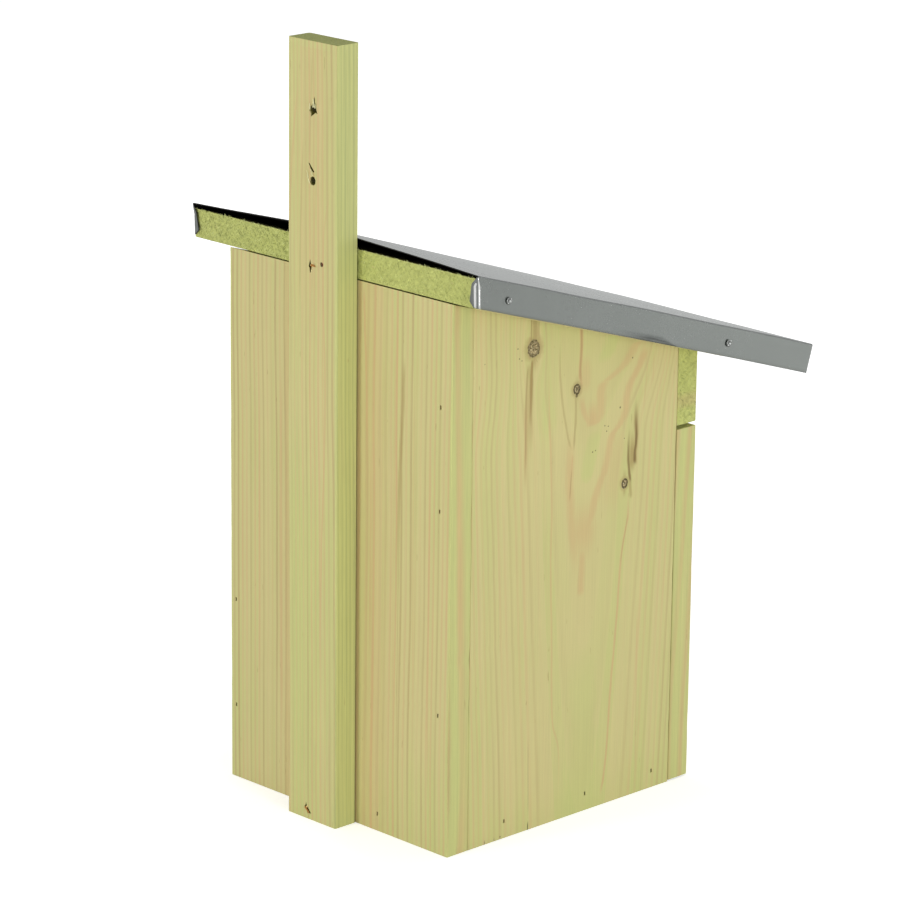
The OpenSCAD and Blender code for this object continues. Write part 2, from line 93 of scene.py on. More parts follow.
MM = 0.001
ROOF_BOARDS = ("roof_board_left", "roof_board_right")
REAR_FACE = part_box("mounting_batten")[1].y

# In millimetres: half the thickness of a board, and a place beyond the end of every board
HALF_BOARD = 10
FAR_OFF = 1000


# Sizes and colours that a user would change

def length(name, description, default):
    """A length that is set in metres."""
    return FloatProperty(name=name, description=description, default=default, unit="LENGTH",
                         subtype="DISTANCE", precision=5)


def share(name, description, default):
    """A number from 0 to 1."""
    return FloatProperty(name=name, description=description, default=default, min=0, max=1,
                         subtype="FACTOR")


def angle(name, description, degrees):
    """An angle, with its default in degrees."""
    return FloatProperty(name=name, description=description, default=math.radians(degrees),
                         unit="ROTATION", subtype="ANGLE")


def colour(name, description, default):
    """A linear colour."""
    return FloatVectorProperty(name=name, description=description, default=default, size=3,
                               min=0, max=1, subtype="COLOR")


class PineSettings(bpy.types.PropertyGroup):
    """Colours and relief of the treated pine"""

    early: colour("Earlywood", "Pale wood between the ring lines", (0.612, 0.548, 0.248))
    green: colour("Green tint", "Earlywood where the treatment shows", (0.548, 0.560, 0.215))
    tan: colour("Tan line", "Ring lines in the plain colour", (0.50, 0.40, 0.175))
    green_line: colour("Green line", "Ring lines on green edges", (0.36, 0.42, 0.155))
    pink: colour("Pink line", "Ring lines with a warm cast", (0.60, 0.425, 0.20))
    end: colour("End grain", "Cut ends of the boards", (0.515, 0.546, 0.168))
    end_dark: colour("End grain lines", "Ring lines on the cut ends", (0.33, 0.385, 0.095))
    end_pale: colour("End grain flakes", "Torn flakes on the cut ends", (0.60, 0.65, 0.27))
    end_deep: colour("End grain pits", "Torn pits in the cut ends", (0.16, 0.20, 0.04))
    stain: colour("Stain", "Streaks above and below the knots", (0.36, 0.245, 0.085))
    knot: colour("Knot", "Dark rim of a knot", (0.085, 0.066, 0.020))
    knot_core: colour("Knot core", "Pale wood in the middle of a knot", (0.64, 0.56, 0.33))
    # Torn wood: raw wood darkened by painted shade, used inside the holes and deep in the pits
    torn: colour("Torn wood", "Raw fibres deep inside a hole", (0.095, 0.086, 0.012))
    splinter: colour("Splinter", "Fresh splinters at the holes", (0.72, 0.70, 0.40))
    rusty: colour("Rusty wood", "Chips stained by a screw", (0.42, 0.19, 0.045))
    relief: length("Relief", "Height of the ring lines over the pale wood", 0.05 * MM)
    fibre_tone: colour("Torn fibre", "Fibres along the torn edges", (0.56, 0.60, 0.24))
    tear: length("Tear", "Roughness of the sawn rear ends of the roof", 1.3 * MM)
    tear_pitch: length("Tear pitch", "Width of the strips that a rough end is cut into", 1.3 * MM)
    fibres: IntProperty(name="Fibres", description="Fibres that stand along a torn edge",
                        default=150, min=0)
    arris_wear: length("Arris wear", "Deepest wear along the edges of the boards", 0.35 * MM)


class SheetSettings(bpy.types.PropertyGroup):
    """Shape and finish of the folded roof sheet"""

    thickness: length("Thickness", "Thickness of the sheet metal", 0.7 * MM)
    gap: length("Gap", "Gap between the sheet and the boards", 0.3 * MM)
    crown_rear: length("Rear crown", "Rise in the middle of the rear edge", 6.0 * MM)
    crown_front: length("Front crown", "Rise in the middle of the front edge", 0.8 * MM)
    ridge: share("Ridge", "How far the ridge of the crown lies from the middle", 0.06)
    flange: length("Flange", "Height of the folded edges", 21.4 * MM)
    lift: length("Lift", "How far the sheet springs up off the boards at its rear", 2.0 * MM)
    askew: length("Askew", "How far one rear corner stands back from the other", 0.2 * MM)
    bend: length("Bend", "Size of the folds", 0.7 * MM)
    setback: length("Setback", "How far the side flange ends before the rear edge", 2.2 * MM)
    outer_fold: length("Outer fold", "Length of metal in the first fold of a corner", 1.3 * MM)
    groove: length("Groove", "Width of the groove between the two corner folds", 1.7 * MM)
    inner_fold: length("Inner fold", "Length of metal in the second fold of a corner", 1.45 * MM)
    turn_in: length("Turn in", "Length of metal that turns from a corner to its ear", 0.4 * MM)
    bulge: length("Bulge", "How far the sides stand out at the rear corners", 0.8 * MM)
    tuck: length("Tuck", "How far the rear corners are pushed in at their foot", 0.7 * MM)
    ear: length("Ear", "Width at its foot of the ear round each rear corner", 3.6 * MM)
    tilt: length("Tilt", "How much higher one side of the rear edge lies", 0.5 * MM)
    dent: length("Dent", "Depth of the dent round each nail", 0.7 * MM)
    wave: length("Wave", "Unevenness of the sheet", 0.35 * MM)
    zinc: colour("Zinc", "Galvanised face of the sheet", (0.337, 0.360, 0.341))
    # Painted highlight: bright metal where the rear corner folds would glint
    rubbed: colour("Painted highlight", "Bright metal along the corner folds", (0.95, 0.96, 0.94))
    # Painted shade: dark metal for the shade and dark reflection in the folds
    creased: colour("Fold shade", "Dull metal in the folds", (0.17, 0.18, 0.175))
    # Painted shade: a near-black underside that darkens the gap under the sheet and its cut edges
    back_coat: colour("Underside shade", "Dark underside of the sheet", (0.010, 0.010, 0.008))


class FittingSettings(bpy.types.PropertyGroup):
    """Finish of the hinges, screws, nails and the turn button"""

    plate: colour("Zinc plate", "Hinges and turn button", (0.55, 0.56, 0.55))
    nail: colour("Nail", "Nails of the roof sheet", (0.27, 0.28, 0.27))
    steel: colour("Steel", "Brads and nails", (0.13, 0.12, 0.10))
    yellow: colour("Yellow zinc", "Batten screws", (0.72, 0.53, 0.22))
    rust: colour("Rust", "Rust on the steel", (0.16, 0.055, 0.016))
    easing: length("Easing", "Rounding of the stamped edges", 0.2 * MM)
    recess: length("Recess", "Length of the cross in the head of a hinge screw", 2.6 * MM)


class StudioSettings(bpy.types.PropertyGroup):
    """Camera, light and floor"""

    azimuth: angle("Azimuth", "Direction that the camera looks from", 225.701)
    elevation: angle("Elevation", "Height of the camera as an angle", 16.006)
    roll: angle("Roll", "Tilt of the camera about its own axis", 0.625)
    distance: length("Distance", "From the camera to its target", 3.029612)
    lens: FloatProperty(name="Lens", description="Focal length in millimetres on a 36 mm sensor",
                        default=169.152, unit="CAMERA")
    target: FloatVectorProperty(name="Target", description="Point that the camera looks at",
                                default=(-0.017568, 0.063106, 0.255895), size=3,
                                subtype="TRANSLATION")
    world: FloatProperty(name="World", description="Light from all round", default=0.60, min=0)
    strip: FloatProperty(name="Strip lamps", description="Power of each of the four strip lamps",
                         default=28.0, min=0)
    floor: colour("Floor", "Plain pale floor", (0.80, 0.80, 0.80))
    glow: share("Glow", "Lift of the floor towards white, seen by the camera alone", 0.52)


# Node trees

def operation(name, swapped=False):
    """A method of a wire that puts a math node between two values."""
    def method(wire, other):
        return wire.sheet.maths(name, *((other, wire) if swapped else (wire, other)))
    return method


class Wire:
    """One value in a node tree. A sum or product of wires adds the nodes that work it out."""

    def __init__(self, sheet, socket):
        self.sheet = sheet
        self.socket = socket

    __add__ = __radd__ = operation("ADD")
    __mul__ = __rmul__ = operation("MULTIPLY")
    __sub__ = operation("SUBTRACT")
    __rsub__ = operation("SUBTRACT", swapped=True)
    __truediv__ = operation("DIVIDE")

    def __neg__(self):
        return self * -1

    def __abs__(self):
        return self.sheet.maths("ABSOLUTE", self)


def label(key):
    """The name of a socket for a key, such as Ring width for ring_width."""
    return key.replace("_", " ").capitalize()


class Wiring:
    """Adds nodes to a tree, one call for each, and joins them."""

    def __init__(self, tree):
        self.tree = tree
        tree.nodes.clear()

    def node(self, kind, inputs=None, **settings):
        """A new node with its settings made and its inputs set or joined."""
        made = self.tree.nodes.new("ShaderNode" + kind)
        for name, value in settings.items():
            setattr(made, name, value)
        for key, value in (inputs or {}).items():
            self.feed(made.inputs[key], value)
        return made

    def feed(self, socket, value):
        """Joins a wire to a socket, or sets the socket to a plain value."""
        if isinstance(value, Wire):
            self.tree.links.new(value.socket, socket)
        elif socket.type == "RGBA" and len(value) == 3:
            socket.default_value = (*value, 1)
        else:
            socket.default_value = value

    def out(self, kind, inputs=None, output=0, **settings):
        """A new node, as the wire from one of its outputs."""
        return Wire(self, self.node(kind, inputs, **settings).outputs[output])

    def maths(self, kind, *values):
        """A math node."""
        return self.out("Math", dict(enumerate(values)), operation=kind)

    def most(self, *values):
        """The highest of some values."""
        return reduce(lambda a, b: self.maths("MAXIMUM", a, b), values)

    def hypotenuse(self, a, b):
        """The distance that two sides at a right angle make."""
        return self.maths("SQRT", a * a + b * b)

    def step(self, value, low, high):
        """0 below low, 1 above high and a smooth step between."""
        return self.out("MapRange", {"Value": value, "From Min": low, "From Max": high},
                        interpolation_type="SMOOTHSTEP")

    def stretch(self, place, scale, offset=(0, 0, 0)):
        """A place scaled by its own factor on each axis, then moved."""
        return self.out("VectorMath", {0: place, 1: scale, 2: offset}, operation="MULTIPLY_ADD")

    def noise(self, place, scale=(1, 1, 1), detail=2.0, offset=(0, 0, 0)):
        """Soft noise about 0, from -0.5 to 0.5, with its own scale on each axis."""
        return self.out("TexNoise", {"Vector": self.stretch(place, scale, offset), "Scale": 1.0,
                                     "Detail": detail, "Roughness": 0.55}) - 0.5

    def luck(self, value):
        """Three random numbers that belong to a whole number."""
        return self.split(self.out("TexWhiteNoise", {"W": value}, output="Color",
                                   noise_dimensions="1D"))

    def place(self):
        """The place in the row frame, in metres."""
        return self.out("TexCoord", output="Object")

    def split(self, vector):
        """The three parts of a vector or a colour."""
        made = self.node("SeparateXYZ", {0: vector})
        return [Wire(self, socket) for socket in made.outputs]

    def join(self, x, y, z):
        """A vector from its three parts."""
        return self.out("CombineXYZ", {0: x, 1: y, 2: z})

    def blend(self, share_of_b, a, b):
        """Colour a turned into colour b by a share."""
        return self.out("Mix", {0: share_of_b, 6: a, 7: b}, output=2, data_type="RGBA",
                        clamp_factor=True)

    def shade(self, tint, factor):
        """A colour made lighter or darker by a factor."""
        return self.out("VectorMath", {0: tint, 3: factor}, operation="SCALE")

    def group(self, name, **inputs):
        """A node group, as the wires from its outputs by name."""
        made = self.node("Group", node_tree=bpy.data.node_groups[name])
        for key, value in inputs.items():
            self.feed(made.inputs[label(key)], value)
        return SimpleNamespace(**{socket.name.lower(): Wire(self, socket)
                                  for socket in made.outputs})

    def surface(self, tint, roughness, finish, height=None):
        """The shader on a material's output, with a relief whose height is in millimetres."""
        inputs = {"Base Color": tint, "Roughness": roughness, **finish}
        if height:
            inputs["Normal"] = self.out("Bump", {"Height": height, "Distance": MM})
        shader = self.out("BsdfPrincipled", inputs)
        self.node("OutputMaterial", {"Surface": shader})


def new_material(name):
    """An empty material and its wiring."""
    material = bpy.data.materials.new(name)
    material.use_nodes = True
    return material, Wiring(material.node_tree)


def new_group(name, inputs, outputs):
    """An empty node group: its wiring, its inputs as wires, and a function that ends it.

    The inputs and the outputs are keys with spaces between them.
    """
    tree = bpy.data.node_groups.new(name, "ShaderNodeTree")
    kinds = {"place": "Vector", "pith": "Vector", "colour": "Color"}
    for side, keys in (("INPUT", inputs), ("OUTPUT", outputs)):
        for key in keys.split():
            tree.interface.new_socket(name=label(key), in_out=side,
                                      socket_type="NodeSocket" + kinds.get(key, "Float"))
    wiring = Wiring(tree)
    source = tree.nodes.new("NodeGroupInput")
    given = SimpleNamespace(**{key: Wire(wiring, source.outputs[label(key)])
                               for key in inputs.split()})

    def finish(**results):
        end = tree.nodes.new("NodeGroupOutput")
        for key, value in results.items():
            wiring.feed(end.inputs[label(key)], value)

    return wiring, given, finish


def rings_group():
    """Growth rings: the place on a board in millimetres in, rings counted from the pith out."""
    w, given, finish = new_group(
        "growth_rings",
        "place push pith ring_width taper wander flare_from flare_share flare_shift", "rings")
    across, depth, along = w.split(given.place)
    pith_across, pith_depth, _ = w.split(given.pith)
    flare = w.step(along, given.flare_from, given.flare_from + 70)
    drift = w.noise(given.place, (0.006, 0.006, 0.0045), 1.0) * given.wander * 2
    quiver = w.noise(given.place, (0.05, 0.05, 0.016), 2.0) * given.wander * 0.22
    side = across - pith_across - flare * given.flare_shift + given.push + drift + quiver
    heart = 1 - w.step(abs(side), 28, 88)
    side = side * (1 - flare * heart * given.flare_share)
    radius = w.hypotenuse(side, depth - pith_depth)
    finish(rings=radius / given.ring_width - along * given.taper)


def knot_group():
    """A knot: how far it pushes the grain aside, its core, its rim and its stain."""
    w, given, finish = new_group("knot", "place across along radius height streak",
                                 "push core rim stain")
    place, radius = given.place, given.radius
    across, _, along = w.split(place)
    side = across - given.across
    above = along - given.along
    wobble = w.noise(place, (0.35, 0.35, 0.35)) * radius * 0.5
    reach = w.hypotenuse(side, above / given.height) + wobble
    core = 1 - w.step(reach, radius * 0.90, radius * 1.08)
    rings = w.maths("SINE", reach * 11 / radius) * 0.3
    crumble = w.noise(place, (0.6, 0.6, 0.6), 3.0, (7, 3, 1))
    edge = w.step(reach, radius * 0.55, radius * 0.9) * (0.8 + crumble * 3)
    cracks = w.step(crumble, 0.02, 0.08) * 0.9
    rim = core * w.most(edge, cracks, 0.25 + rings)
    halo = 1 - w.step(reach, radius * 0.9, radius * 2.0)
    push = side * radius * radius * -2.6 / (
        side * side + above * above * 0.12 + radius * radius * 0.5)
    fibre = w.noise(place, (0.75, 0.75, 0.014), 2.0)
    trail = (1 - w.step(abs(side + fibre * 4), 0, radius * 1.1)) * (
        1 - w.step(abs(above), radius, given.streak))
    stain = w.most(halo * 0.55, trail * (0.42 + fibre * 1.5))
    finish(push=push, core=core, rim=rim, stain=stain)


def vein_group():
    """A line along a board: it is laid over a mask between its lowest and its highest place."""
    w, given, finish = new_group(
        "vein", "place ragged share left span low high start stop width strength mask", "mask")
    across, _, along = w.split(given.place)
    width, low, high = given.width, given.low, given.high
    route = given.share * given.span + given.left
    off = abs(across - route + given.ragged * width)
    ends = w.step(along, low - 0.1, low + given.start) * (
        1 - w.step(along, high - given.stop, high + 0.1))
    line = (1 - w.step(off, width * 0.2, width)) * ends * given.strength
    finish(mask=w.most(given.mask, line))


def speck_group():
    """A small spot of a given radius, laid over a mask."""
    w, given, finish = new_group("speck", "place across along radius mask", "mask")
    across, _, along = w.split(given.place)
    off = w.hypotenuse(across - given.across, along - given.along)
    spot = 1 - w.step(off, given.radius * 0.5, given.radius)
    finish(mask=w.most(given.mask, spot * 0.75))


def add_vein(w, place, ragged, vein, mask):
    """Lays one vein over a mask. A curve node leads it through the vein's points."""
    sides = [point[0] for point in vein.points]
    left, span = min(sides) - 1, max(sides) - min(sides) + 2
    low, high = vein.points[0][1], vein.points[-1][1]
    start, stop = (part * (high - low) for part in vein.fade)
    climbed = w.out("MapRange", {"Value": w.split(place)[2], "From Min": low, "From Max": high})
    bend = w.node("FloatCurve", {"Value": climbed})
    curve = bend.mapping.curves[0]
    for _ in vein.points[2:]:
        curve.points.new(0.5, 0.5)
    for knob, (side, height) in zip(curve.points, vein.points):
        knob.location = ((height - low) / (high - low), (side - left) / span)
    bend.mapping.update()
    return w.group("vein", place=place, ragged=ragged, share=Wire(w, bend.outputs[0]), left=left,
                   span=span, low=low, high=high, start=start, stop=stop, width=vein.width,
                   strength=vein.strength, mask=mask).mask


def pine_group(look):
    """Treated pine: place, rings and masks in, colour, roughness and height in millimetres out."""
    w, given, finish = new_group(
        "treated_pine", "place rings end contrast warmth greenness fibre end_tone end_torn pink "
        "green stain core rim bore tone", "colour roughness height")
    place = given.place
    ring = w.maths("FLOOR", given.rings)
    phase = given.rings - ring
    late = w.step(phase, 0.30, 0.72) * (1 - w.step(phase, 0.74, 0.98))
    strength, hue, tint = w.luck(ring + 0.5)
    u, depth, along = w.split(place)
    fade = w.noise(w.join(ring * 7.31, along, 0), (1, 0.007, 1), 1.0)
    line = late * given.contrast * (0.35 + strength * 0.75) * (0.9 + fade * 1.8)

    blotch = w.noise(place, (0.011, 0.011, 0.005), 2.0)
    fibre = w.noise(place, (0.9, 0.9, 0.009), 3.0)
    hair = w.noise(place, (4.2, 4.2, 0.05), 2.0)
    greenness = w.step(given.greenness + given.green + blotch * 1.5 + (tint - 0.5) * 0.5, 0, 1)
    early = w.blend(greenness, look.early, look.green)
    warm = w.step(given.warmth + (hue - 0.5) * 1.2, 0.35, 0.65)
    late_colour = w.blend(warm, look.tan, look.pink)
    late_colour = w.blend(w.step(given.greenness, 0.9, 1.25), late_colour, look.green_line)
    face = w.blend(line, early, late_colour)
    face = w.blend(given.pink, face, look.pink)
    # The tone carries painted light that lightens the top of a board
    face = w.shade(face, given.tone + (fibre * 0.19 + hair * 0.12) * given.fibre)

    speck = w.noise(place, (0.55, 0.55, 0.06), 2.0, (31, 17, 5))
    fleck = w.step(speck, 0.235, 0.275)
    face = w.blend(w.most(given.stain, fleck * 0.45), face, look.stain)
    pith = w.noise(place, (1.4, 1.4, 1.4), 3.0)
    heart = w.blend(w.step(pith, -0.12, 0.12), look.stain, look.knot_core)
    face = w.blend(given.core, face, heart)
    face = w.blend(given.rim, face, look.knot)

    crumb = w.noise(place, (0.5, 0.5, 0.5), 5.0)
    mottle = w.noise(place, (0.13, 0.13, 0.13), 2.0, (5, 2, 7))
    cut = w.join(u * 1.1 + depth * 0.8, depth * 0.16 - u * 0.12, 0)
    saw = w.noise(cut, (1, 1, 1), 3.0, (9, 4, 2))
    torn = w.step(saw, 0.10, 0.24) * w.step(blotch, -0.2, 0.2)
    hatch = w.join((u - depth) * 0.55, (u + depth) * 0.16, 0)
    flake = w.noise(hatch, (1, 1, 1), 4.0, (2, 8, 5))
    flaw = (1 - w.step(abs(flake), 0.0, 0.05)) * w.step(saw, -0.1, 0.2) * given.end_torn
    ring_line = late * (0.06 + strength * 0.22) * (1 + crumb * 3)
    end = w.blend(w.maths("MINIMUM", ring_line + torn * 0.55, 1), look.end, look.end_dark)
    end = w.blend(given.pink * 0.6, end, look.tan)
    end = w.blend(flaw * 0.55, end, look.end_deep)
    pale = w.step(flake, 0.06, 0.20) * given.end_torn * 0.6
    end = w.blend(pale, end, look.end_pale)
    end = w.shade(end, (1.03 + crumb * 0.26 + mottle * 0.3) * given.end_tone)
    # Painted shade inside the holes: the bore mask turns the wood to the dark torn-wood colour
    tone = w.blend(given.bore, w.blend(given.end, face, end), look.torn)

    rough = 0.60 + fibre * 0.2 - late * 0.08 + given.end * 0.2
    ridge = line * look.relief / MM + fibre * 0.10 + hair * 0.05
    ridge = ridge - fleck * 0.05 - given.rim * 0.12
    pits = (crumb * 0.9 - torn * 0.35 - flaw * 0.5) * given.end
    finish(colour=tone, roughness=rough, height=ridge + pits)


@dataclass
class Knot:
    """A knot's place across and along its board and its radius and streak, in millimetres.

    rim is how dark its rim is, and height how much taller than wide it is.
    """

    across: float
    along: float
    radius: float
    streak: float = 60
    rim: float = 1.0
    height: float = 1.15


@dataclass
class Vein:
    """A line through (across, along) points, lowest first, with its width and its strength.

    fade gives the shares of its length over which it fades in and out.
    """

    mask: str
    points: tuple
    width: float
    strength: float
    fade: tuple = (0.2, 0.2)


def veins(mask, rows):
    """Veins that are laid over the same mask, from rows of their other values."""
    return tuple(Vein(mask, *row) for row in rows)


@dataclass
class Grain:
    """How one board was cut from its log, in millimetres from its middle line and its foot.

    flare: where the rings begin to widen, by which share, and how far they shift.
    seam: how deep the painted shade along its joints lies on its edges and on its ends, up to
    seam_top.
    bores: from where to where its holes get painted shade inside.
    plain: the middle and half the width of a strip with faint lines.
    paler: from where to where the tone changes, and by how much: painted light that offsets the
    shade under the eave.
    specks: the place across, the place along and the radius of each.
    """

    across: tuple = (1, 0, 0)
    along: tuple = (0, 0, 1)
    pith: tuple = (0, 60)
    ring_width: float = 5.0
    taper: float = 0.004
    wander: float = 5.0
    contrast: float = 0.85
    warmth: float = 0.5
    greenness: float = 0.35
    end_tone: float = 1.0
    end_torn: float = 0.3
    flare: tuple = (FAR_OFF, 0, 0)
    edge_green: float = 0
    fibre: float = 1
    seam: tuple = (FAR_OFF, FAR_OFF)
    seam_top: float = FAR_OFF
    bores: tuple = (0, 0)
    plain: tuple = (0, 0)
    paler: tuple = (0, 1, 0)
    knots: tuple = ()
    veins: tuple = ()
    specks: tuple = ()


def pine_material(name, grain, foot, half):
    """The material of one board, from its grain, its foot and half its width in millimetres."""
    material, w = new_material(name)
    along = Vector(grain.along)
    turn = Matrix((grain.across, along.cross(Vector(grain.across)), along))
    coords = w.node("TexCoord")
    place = w.out("Mapping", {"Vector": Wire(w, coords.outputs["Object"]),
                              "Rotation": turn.to_euler(),
                              "Location": -(turn @ Vector(foot)) / MM, "Scale": (1 / MM,) * 3})
    facing = w.out("Mapping", {"Vector": Wire(w, coords.outputs["Normal"]),
                               "Rotation": turn.to_euler()}, vector_type="VECTOR")
    end = w.step(abs(w.split(facing)[2]), 0.55, 0.85)
    masks = dict.fromkeys(("pink", "green", "stain", "core", "rim", "bore"), 0.0)
    push = 0.0
    for knot in grain.knots:
        found = w.group("knot", place=place, across=knot.across, along=knot.along,
                        radius=knot.radius, height=knot.height, streak=knot.streak)
        push = push + found.push
        for key, value in (("stain", found.stain), ("core", found.core),
                           ("rim", found.rim * knot.rim)):
            masks[key] = w.most(masks[key], value)
    flare_from, flare_share, flare_shift = grain.flare
    rings = w.group("growth_rings", place=place, push=push, pith=(*grain.pith, 0),
                    ring_width=grain.ring_width, taper=grain.taper, wander=grain.wander,
                    flare_from=flare_from, flare_share=flare_share, flare_shift=flare_shift).rings
    ragged = w.noise(place, (0.8, 0.8, 0.05), 2.0)
    for vein in grain.veins:
        masks[vein.mask] = add_vein(w, place, ragged, vein, masks[vein.mask])
    for across, height, radius in grain.specks:
        masks["rim"] = w.group("speck", place=place, across=across, along=height, radius=radius,
                               mask=masks["rim"]).mask
    u, depth, height = w.split(place)
    edge = w.step(abs(u), half - 2.5, half - 0.3)
    # Painted shade: a dark line along the joints, on the edges and the ends, below a given height
    for zone, seam in zip((edge, end), grain.seam):
        below = 1 - w.step(height, grain.seam_top, grain.seam_top + 4)
        masks["rim"] = w.most(masks["rim"],
                              zone * w.step(-depth, seam - 1.2, seam - 0.3) * below * 0.8)
    # Painted shade on the walls of the holes, between the bores' ends
    low, high = grain.bores
    if high:
        within = w.step(height, low, low + 1) * (1 - w.step(height, high - 1, high))
        inside = w.step(HALF_BOARD - abs(depth), 0.4, 1.4) * w.step(half - abs(u), 0.4, 1.4)
        masks["bore"] = inside * within * 0.9
    # Painted light: the board grows lighter towards its top, against the shade under the eave
    light_from, light_to, light_share = grain.paler
    contrast = grain.contrast
    plain_middle, plain_half = grain.plain
    if plain_half:
        contrast = w.step(abs(u - plain_middle), plain_half * 0.5, plain_half) * (
            grain.contrast * 0.75) + grain.contrast * 0.25
    wood = w.group(
        "treated_pine", place=place, rings=rings, end=end, contrast=contrast, warmth=grain.warmth,
        greenness=grain.greenness + edge * grain.edge_green,
        fibre=grain.fibre + edge * grain.edge_green * 1.2,
        end_tone=grain.end_tone, end_torn=grain.end_torn,
        tone=w.step(height, light_from, light_to) * light_share + 1, **masks)
    w.surface(wood.colour, wood.roughness, {"Specular IOR Level": 0.28}, wood.height)
    return material


# Meshes

# The round that the saw leaves on a board's long edges, and the slices that a board is cut into
ARRIS = 0.35 * MM
SLICE = 9 * MM


def in_scene(name, data):
    """A new object in the scene that holds some data."""
    made = bpy.data.objects.new(name, data)
    bpy.context.scene.collection.objects.link(made)
    return made


def mesh_object(name, bm, *materials):
    """A new object in the scene from a bmesh, which is freed."""
    mesh = bpy.data.meshes.new(name)
    bm.to_mesh(mesh)
    bm.free()
    for material in materials:
        mesh.materials.append(material)
    return in_scene(name, mesh)


def finished(name, bm, body, *materials, slot):
    """Turns a bmesh into a piece that rides on a body."""
    piece = mesh_object(name, bm, *materials)
    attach(piece, body)
    return piece


def pointing(place, axis, forward="Z"):
    """A matrix at a place, with its Z axis, or another that is named, along a direction."""
    return Matrix.Translation(place) @ axis.to_track_quat(forward, "Y").to_matrix().to_4x4()


def picked(geometry, kind):
    """The items of one kind in the result of a bmesh operator."""
    return [item for item in geometry if isinstance(item, kind)]


def merged_copy(node):
    """A bmesh of a CAD node with its corners merged and its flat faces whole."""
    bm = bmesh.new()
    bm.from_mesh(NODES[node].data)
    bmesh.ops.remove_doubles(bm, verts=bm.verts, dist=0.01 * MM)
    bmesh.ops.dissolve_limit(bm, angle_limit=math.radians(0.5), verts=bm.verts, edges=bm.edges)
    return bm


def body_of(node):
    """The CAD body that holds a node."""
    return NODES[node]["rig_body"]


def ease_edges(bm, least_angle, least_length, offset):
    """Rounds the long edges that turn outwards by more than an angle in degrees."""
    edges = [edge for edge in bm.edges
             if len(edge.link_faces) == 2 and edge.is_convex
             and edge.calc_face_angle() > math.radians(least_angle)
             and edge.calc_length() > least_length]
    bmesh.ops.bevel(bm, geom=edges, offset=offset, segments=2, profile=0.5, affect="EDGES",
                    material=-1, clamp_overlap=True)


def reach(spots, axis):
    """The lowest and the highest place of some points along an axis."""
    places = [spot.dot(axis) for spot in spots]
    return min(places), max(places)


def slice_along(bm, axis):
    """Cuts a board into even slices along an axis and keeps all of it, so that it can wear."""
    low, high = reach([vert.co for vert in bm.verts], axis)
    count = int((high - low) / SLICE)
    for k in range(1, count + 1):
        level = low + (high - low) * k / (count + 1)
        bmesh.ops.bisect_plane(bm, geom=[*bm.verts, *bm.edges, *bm.faces], dist=1e-6,
                               plane_co=axis * level, plane_no=axis)


def wear_edges(bm, depth):
    """Wears the corners of a board a little, more in some places than in others."""
    worn = [vert for vert in bm.verts
            if vert.is_manifold and any(edge.calc_face_angle(0) > math.radians(25)
                                        for edge in vert.link_edges)]
    moves = [(vert, vert.normal * depth * max(0, noise.noise(vert.co / (14 * MM))
                                              + 0.5 * noise.noise(vert.co / (4 * MM))))
             for vert in worn]
    for vert, move in moves:
        vert.co -= move


def board(node, grain, look, rough_end=None):
    """One board: a copy of its solid with worn edges, in its own pine."""
    bm = merged_copy(node)
    ease_edges(bm, 60, 12 * MM, ARRIS)
    slice_along(bm, Vector(grain.along))
    wear_edges(bm, look.arris_wear)
    if rough_end:
        rough_end(bm, look)
    low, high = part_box(node)
    along = Vector(grain.along)
    foot = (low + high) / 2 - along * abs((high - low).dot(along)) / 2
    half = abs((high - low).dot(Vector(grain.across))) / 2 / MM
    material = pine_material(node + "_pine", grain, foot, half)
    piece = finished(node + "_timber", bm, body_of(node), material, slot="treated_pine")
    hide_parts(node)
    return piece


# Operators

class BirdHouseOperator(bpy.types.Operator):
    """Base of the operators: it finds the settings."""

    bl_options = {"REGISTER", "UNDO"}

    @property
    def settings(self):
        """All settings of the bird house."""
        return bpy.context.scene.bird_house


# The width of the camera's sensor in millimetres
SENSOR = 36

# The four lamps stand round the box: the place of the first, and the size of each
LAMPS = ("left_lamp", "rear_lamp", "right_lamp", "front_lamp")
LAMP_PLACE = Vector((-3.0, 0.5, 0.55))
LAMP_SIZE = (0.4, 1.1)


class BIRDHOUSE_OT_stage(BirdHouseOperator):
    """Sets up the camera, the soft light and the pale floor"""

    bl_idname = "birdhouse.stage"
    bl_label = "Stage"

    def execute(self, context):
        studio = self.settings.studio
        context.scene.view_settings.view_transform = "Standard"
        place_camera(studio)
        light_world(studio.world)
        for side, name in enumerate(LAMPS):
            place = Matrix.Rotation(-side * math.pi / 2, 3, "Z") @ LAMP_PLACE
            area_lamp(name, studio.strip, place)
        lay_floor(studio.floor, studio.glow)
        return {"FINISHED"}


def place_camera(studio):
    """A camera at its angles from the target, with a little roll."""
    sin_a, cos_a = math.sin(studio.azimuth), math.cos(studio.azimuth)
    sin_e, cos_e = math.sin(studio.elevation), math.cos(studio.elevation)
    back = Vector((sin_a * cos_e, -cos_a * cos_e, sin_e))
    right = Vector((cos_a, sin_a, 0))
    turn = Matrix((right, back.cross(right), back)).transposed()
    data = bpy.data.cameras.new("camera")
    data.lens = studio.lens
    data.sensor_width = SENSOR
    camera = in_scene("camera", data)
    place = Matrix.Translation(Vector(studio.target) + back * studio.distance)
    camera.matrix_world = place @ turn.to_4x4() @ Matrix.Rotation(studio.roll, 4, "Z")
    bpy.context.scene.camera = camera


def light_world(strength):
    """Even light all round, seen as white by the camera and in metal."""
    world = bpy.data.worlds.new("studio")
    bpy.context.scene.world = world
    world.use_nodes = True
    w = Wiring(world.node_tree)
    path = w.node("LightPath")
    shown = w.most(*(Wire(w, path.outputs["Is " + ray + " Ray"])
                     for ray in ("Camera", "Glossy", "Transmission")))
    level = shown * (1 - strength) + strength
    light = w.out("Background", {"Color": (1, 1, 1), "Strength": level})
    w.node("OutputWorld", {"Surface": light})


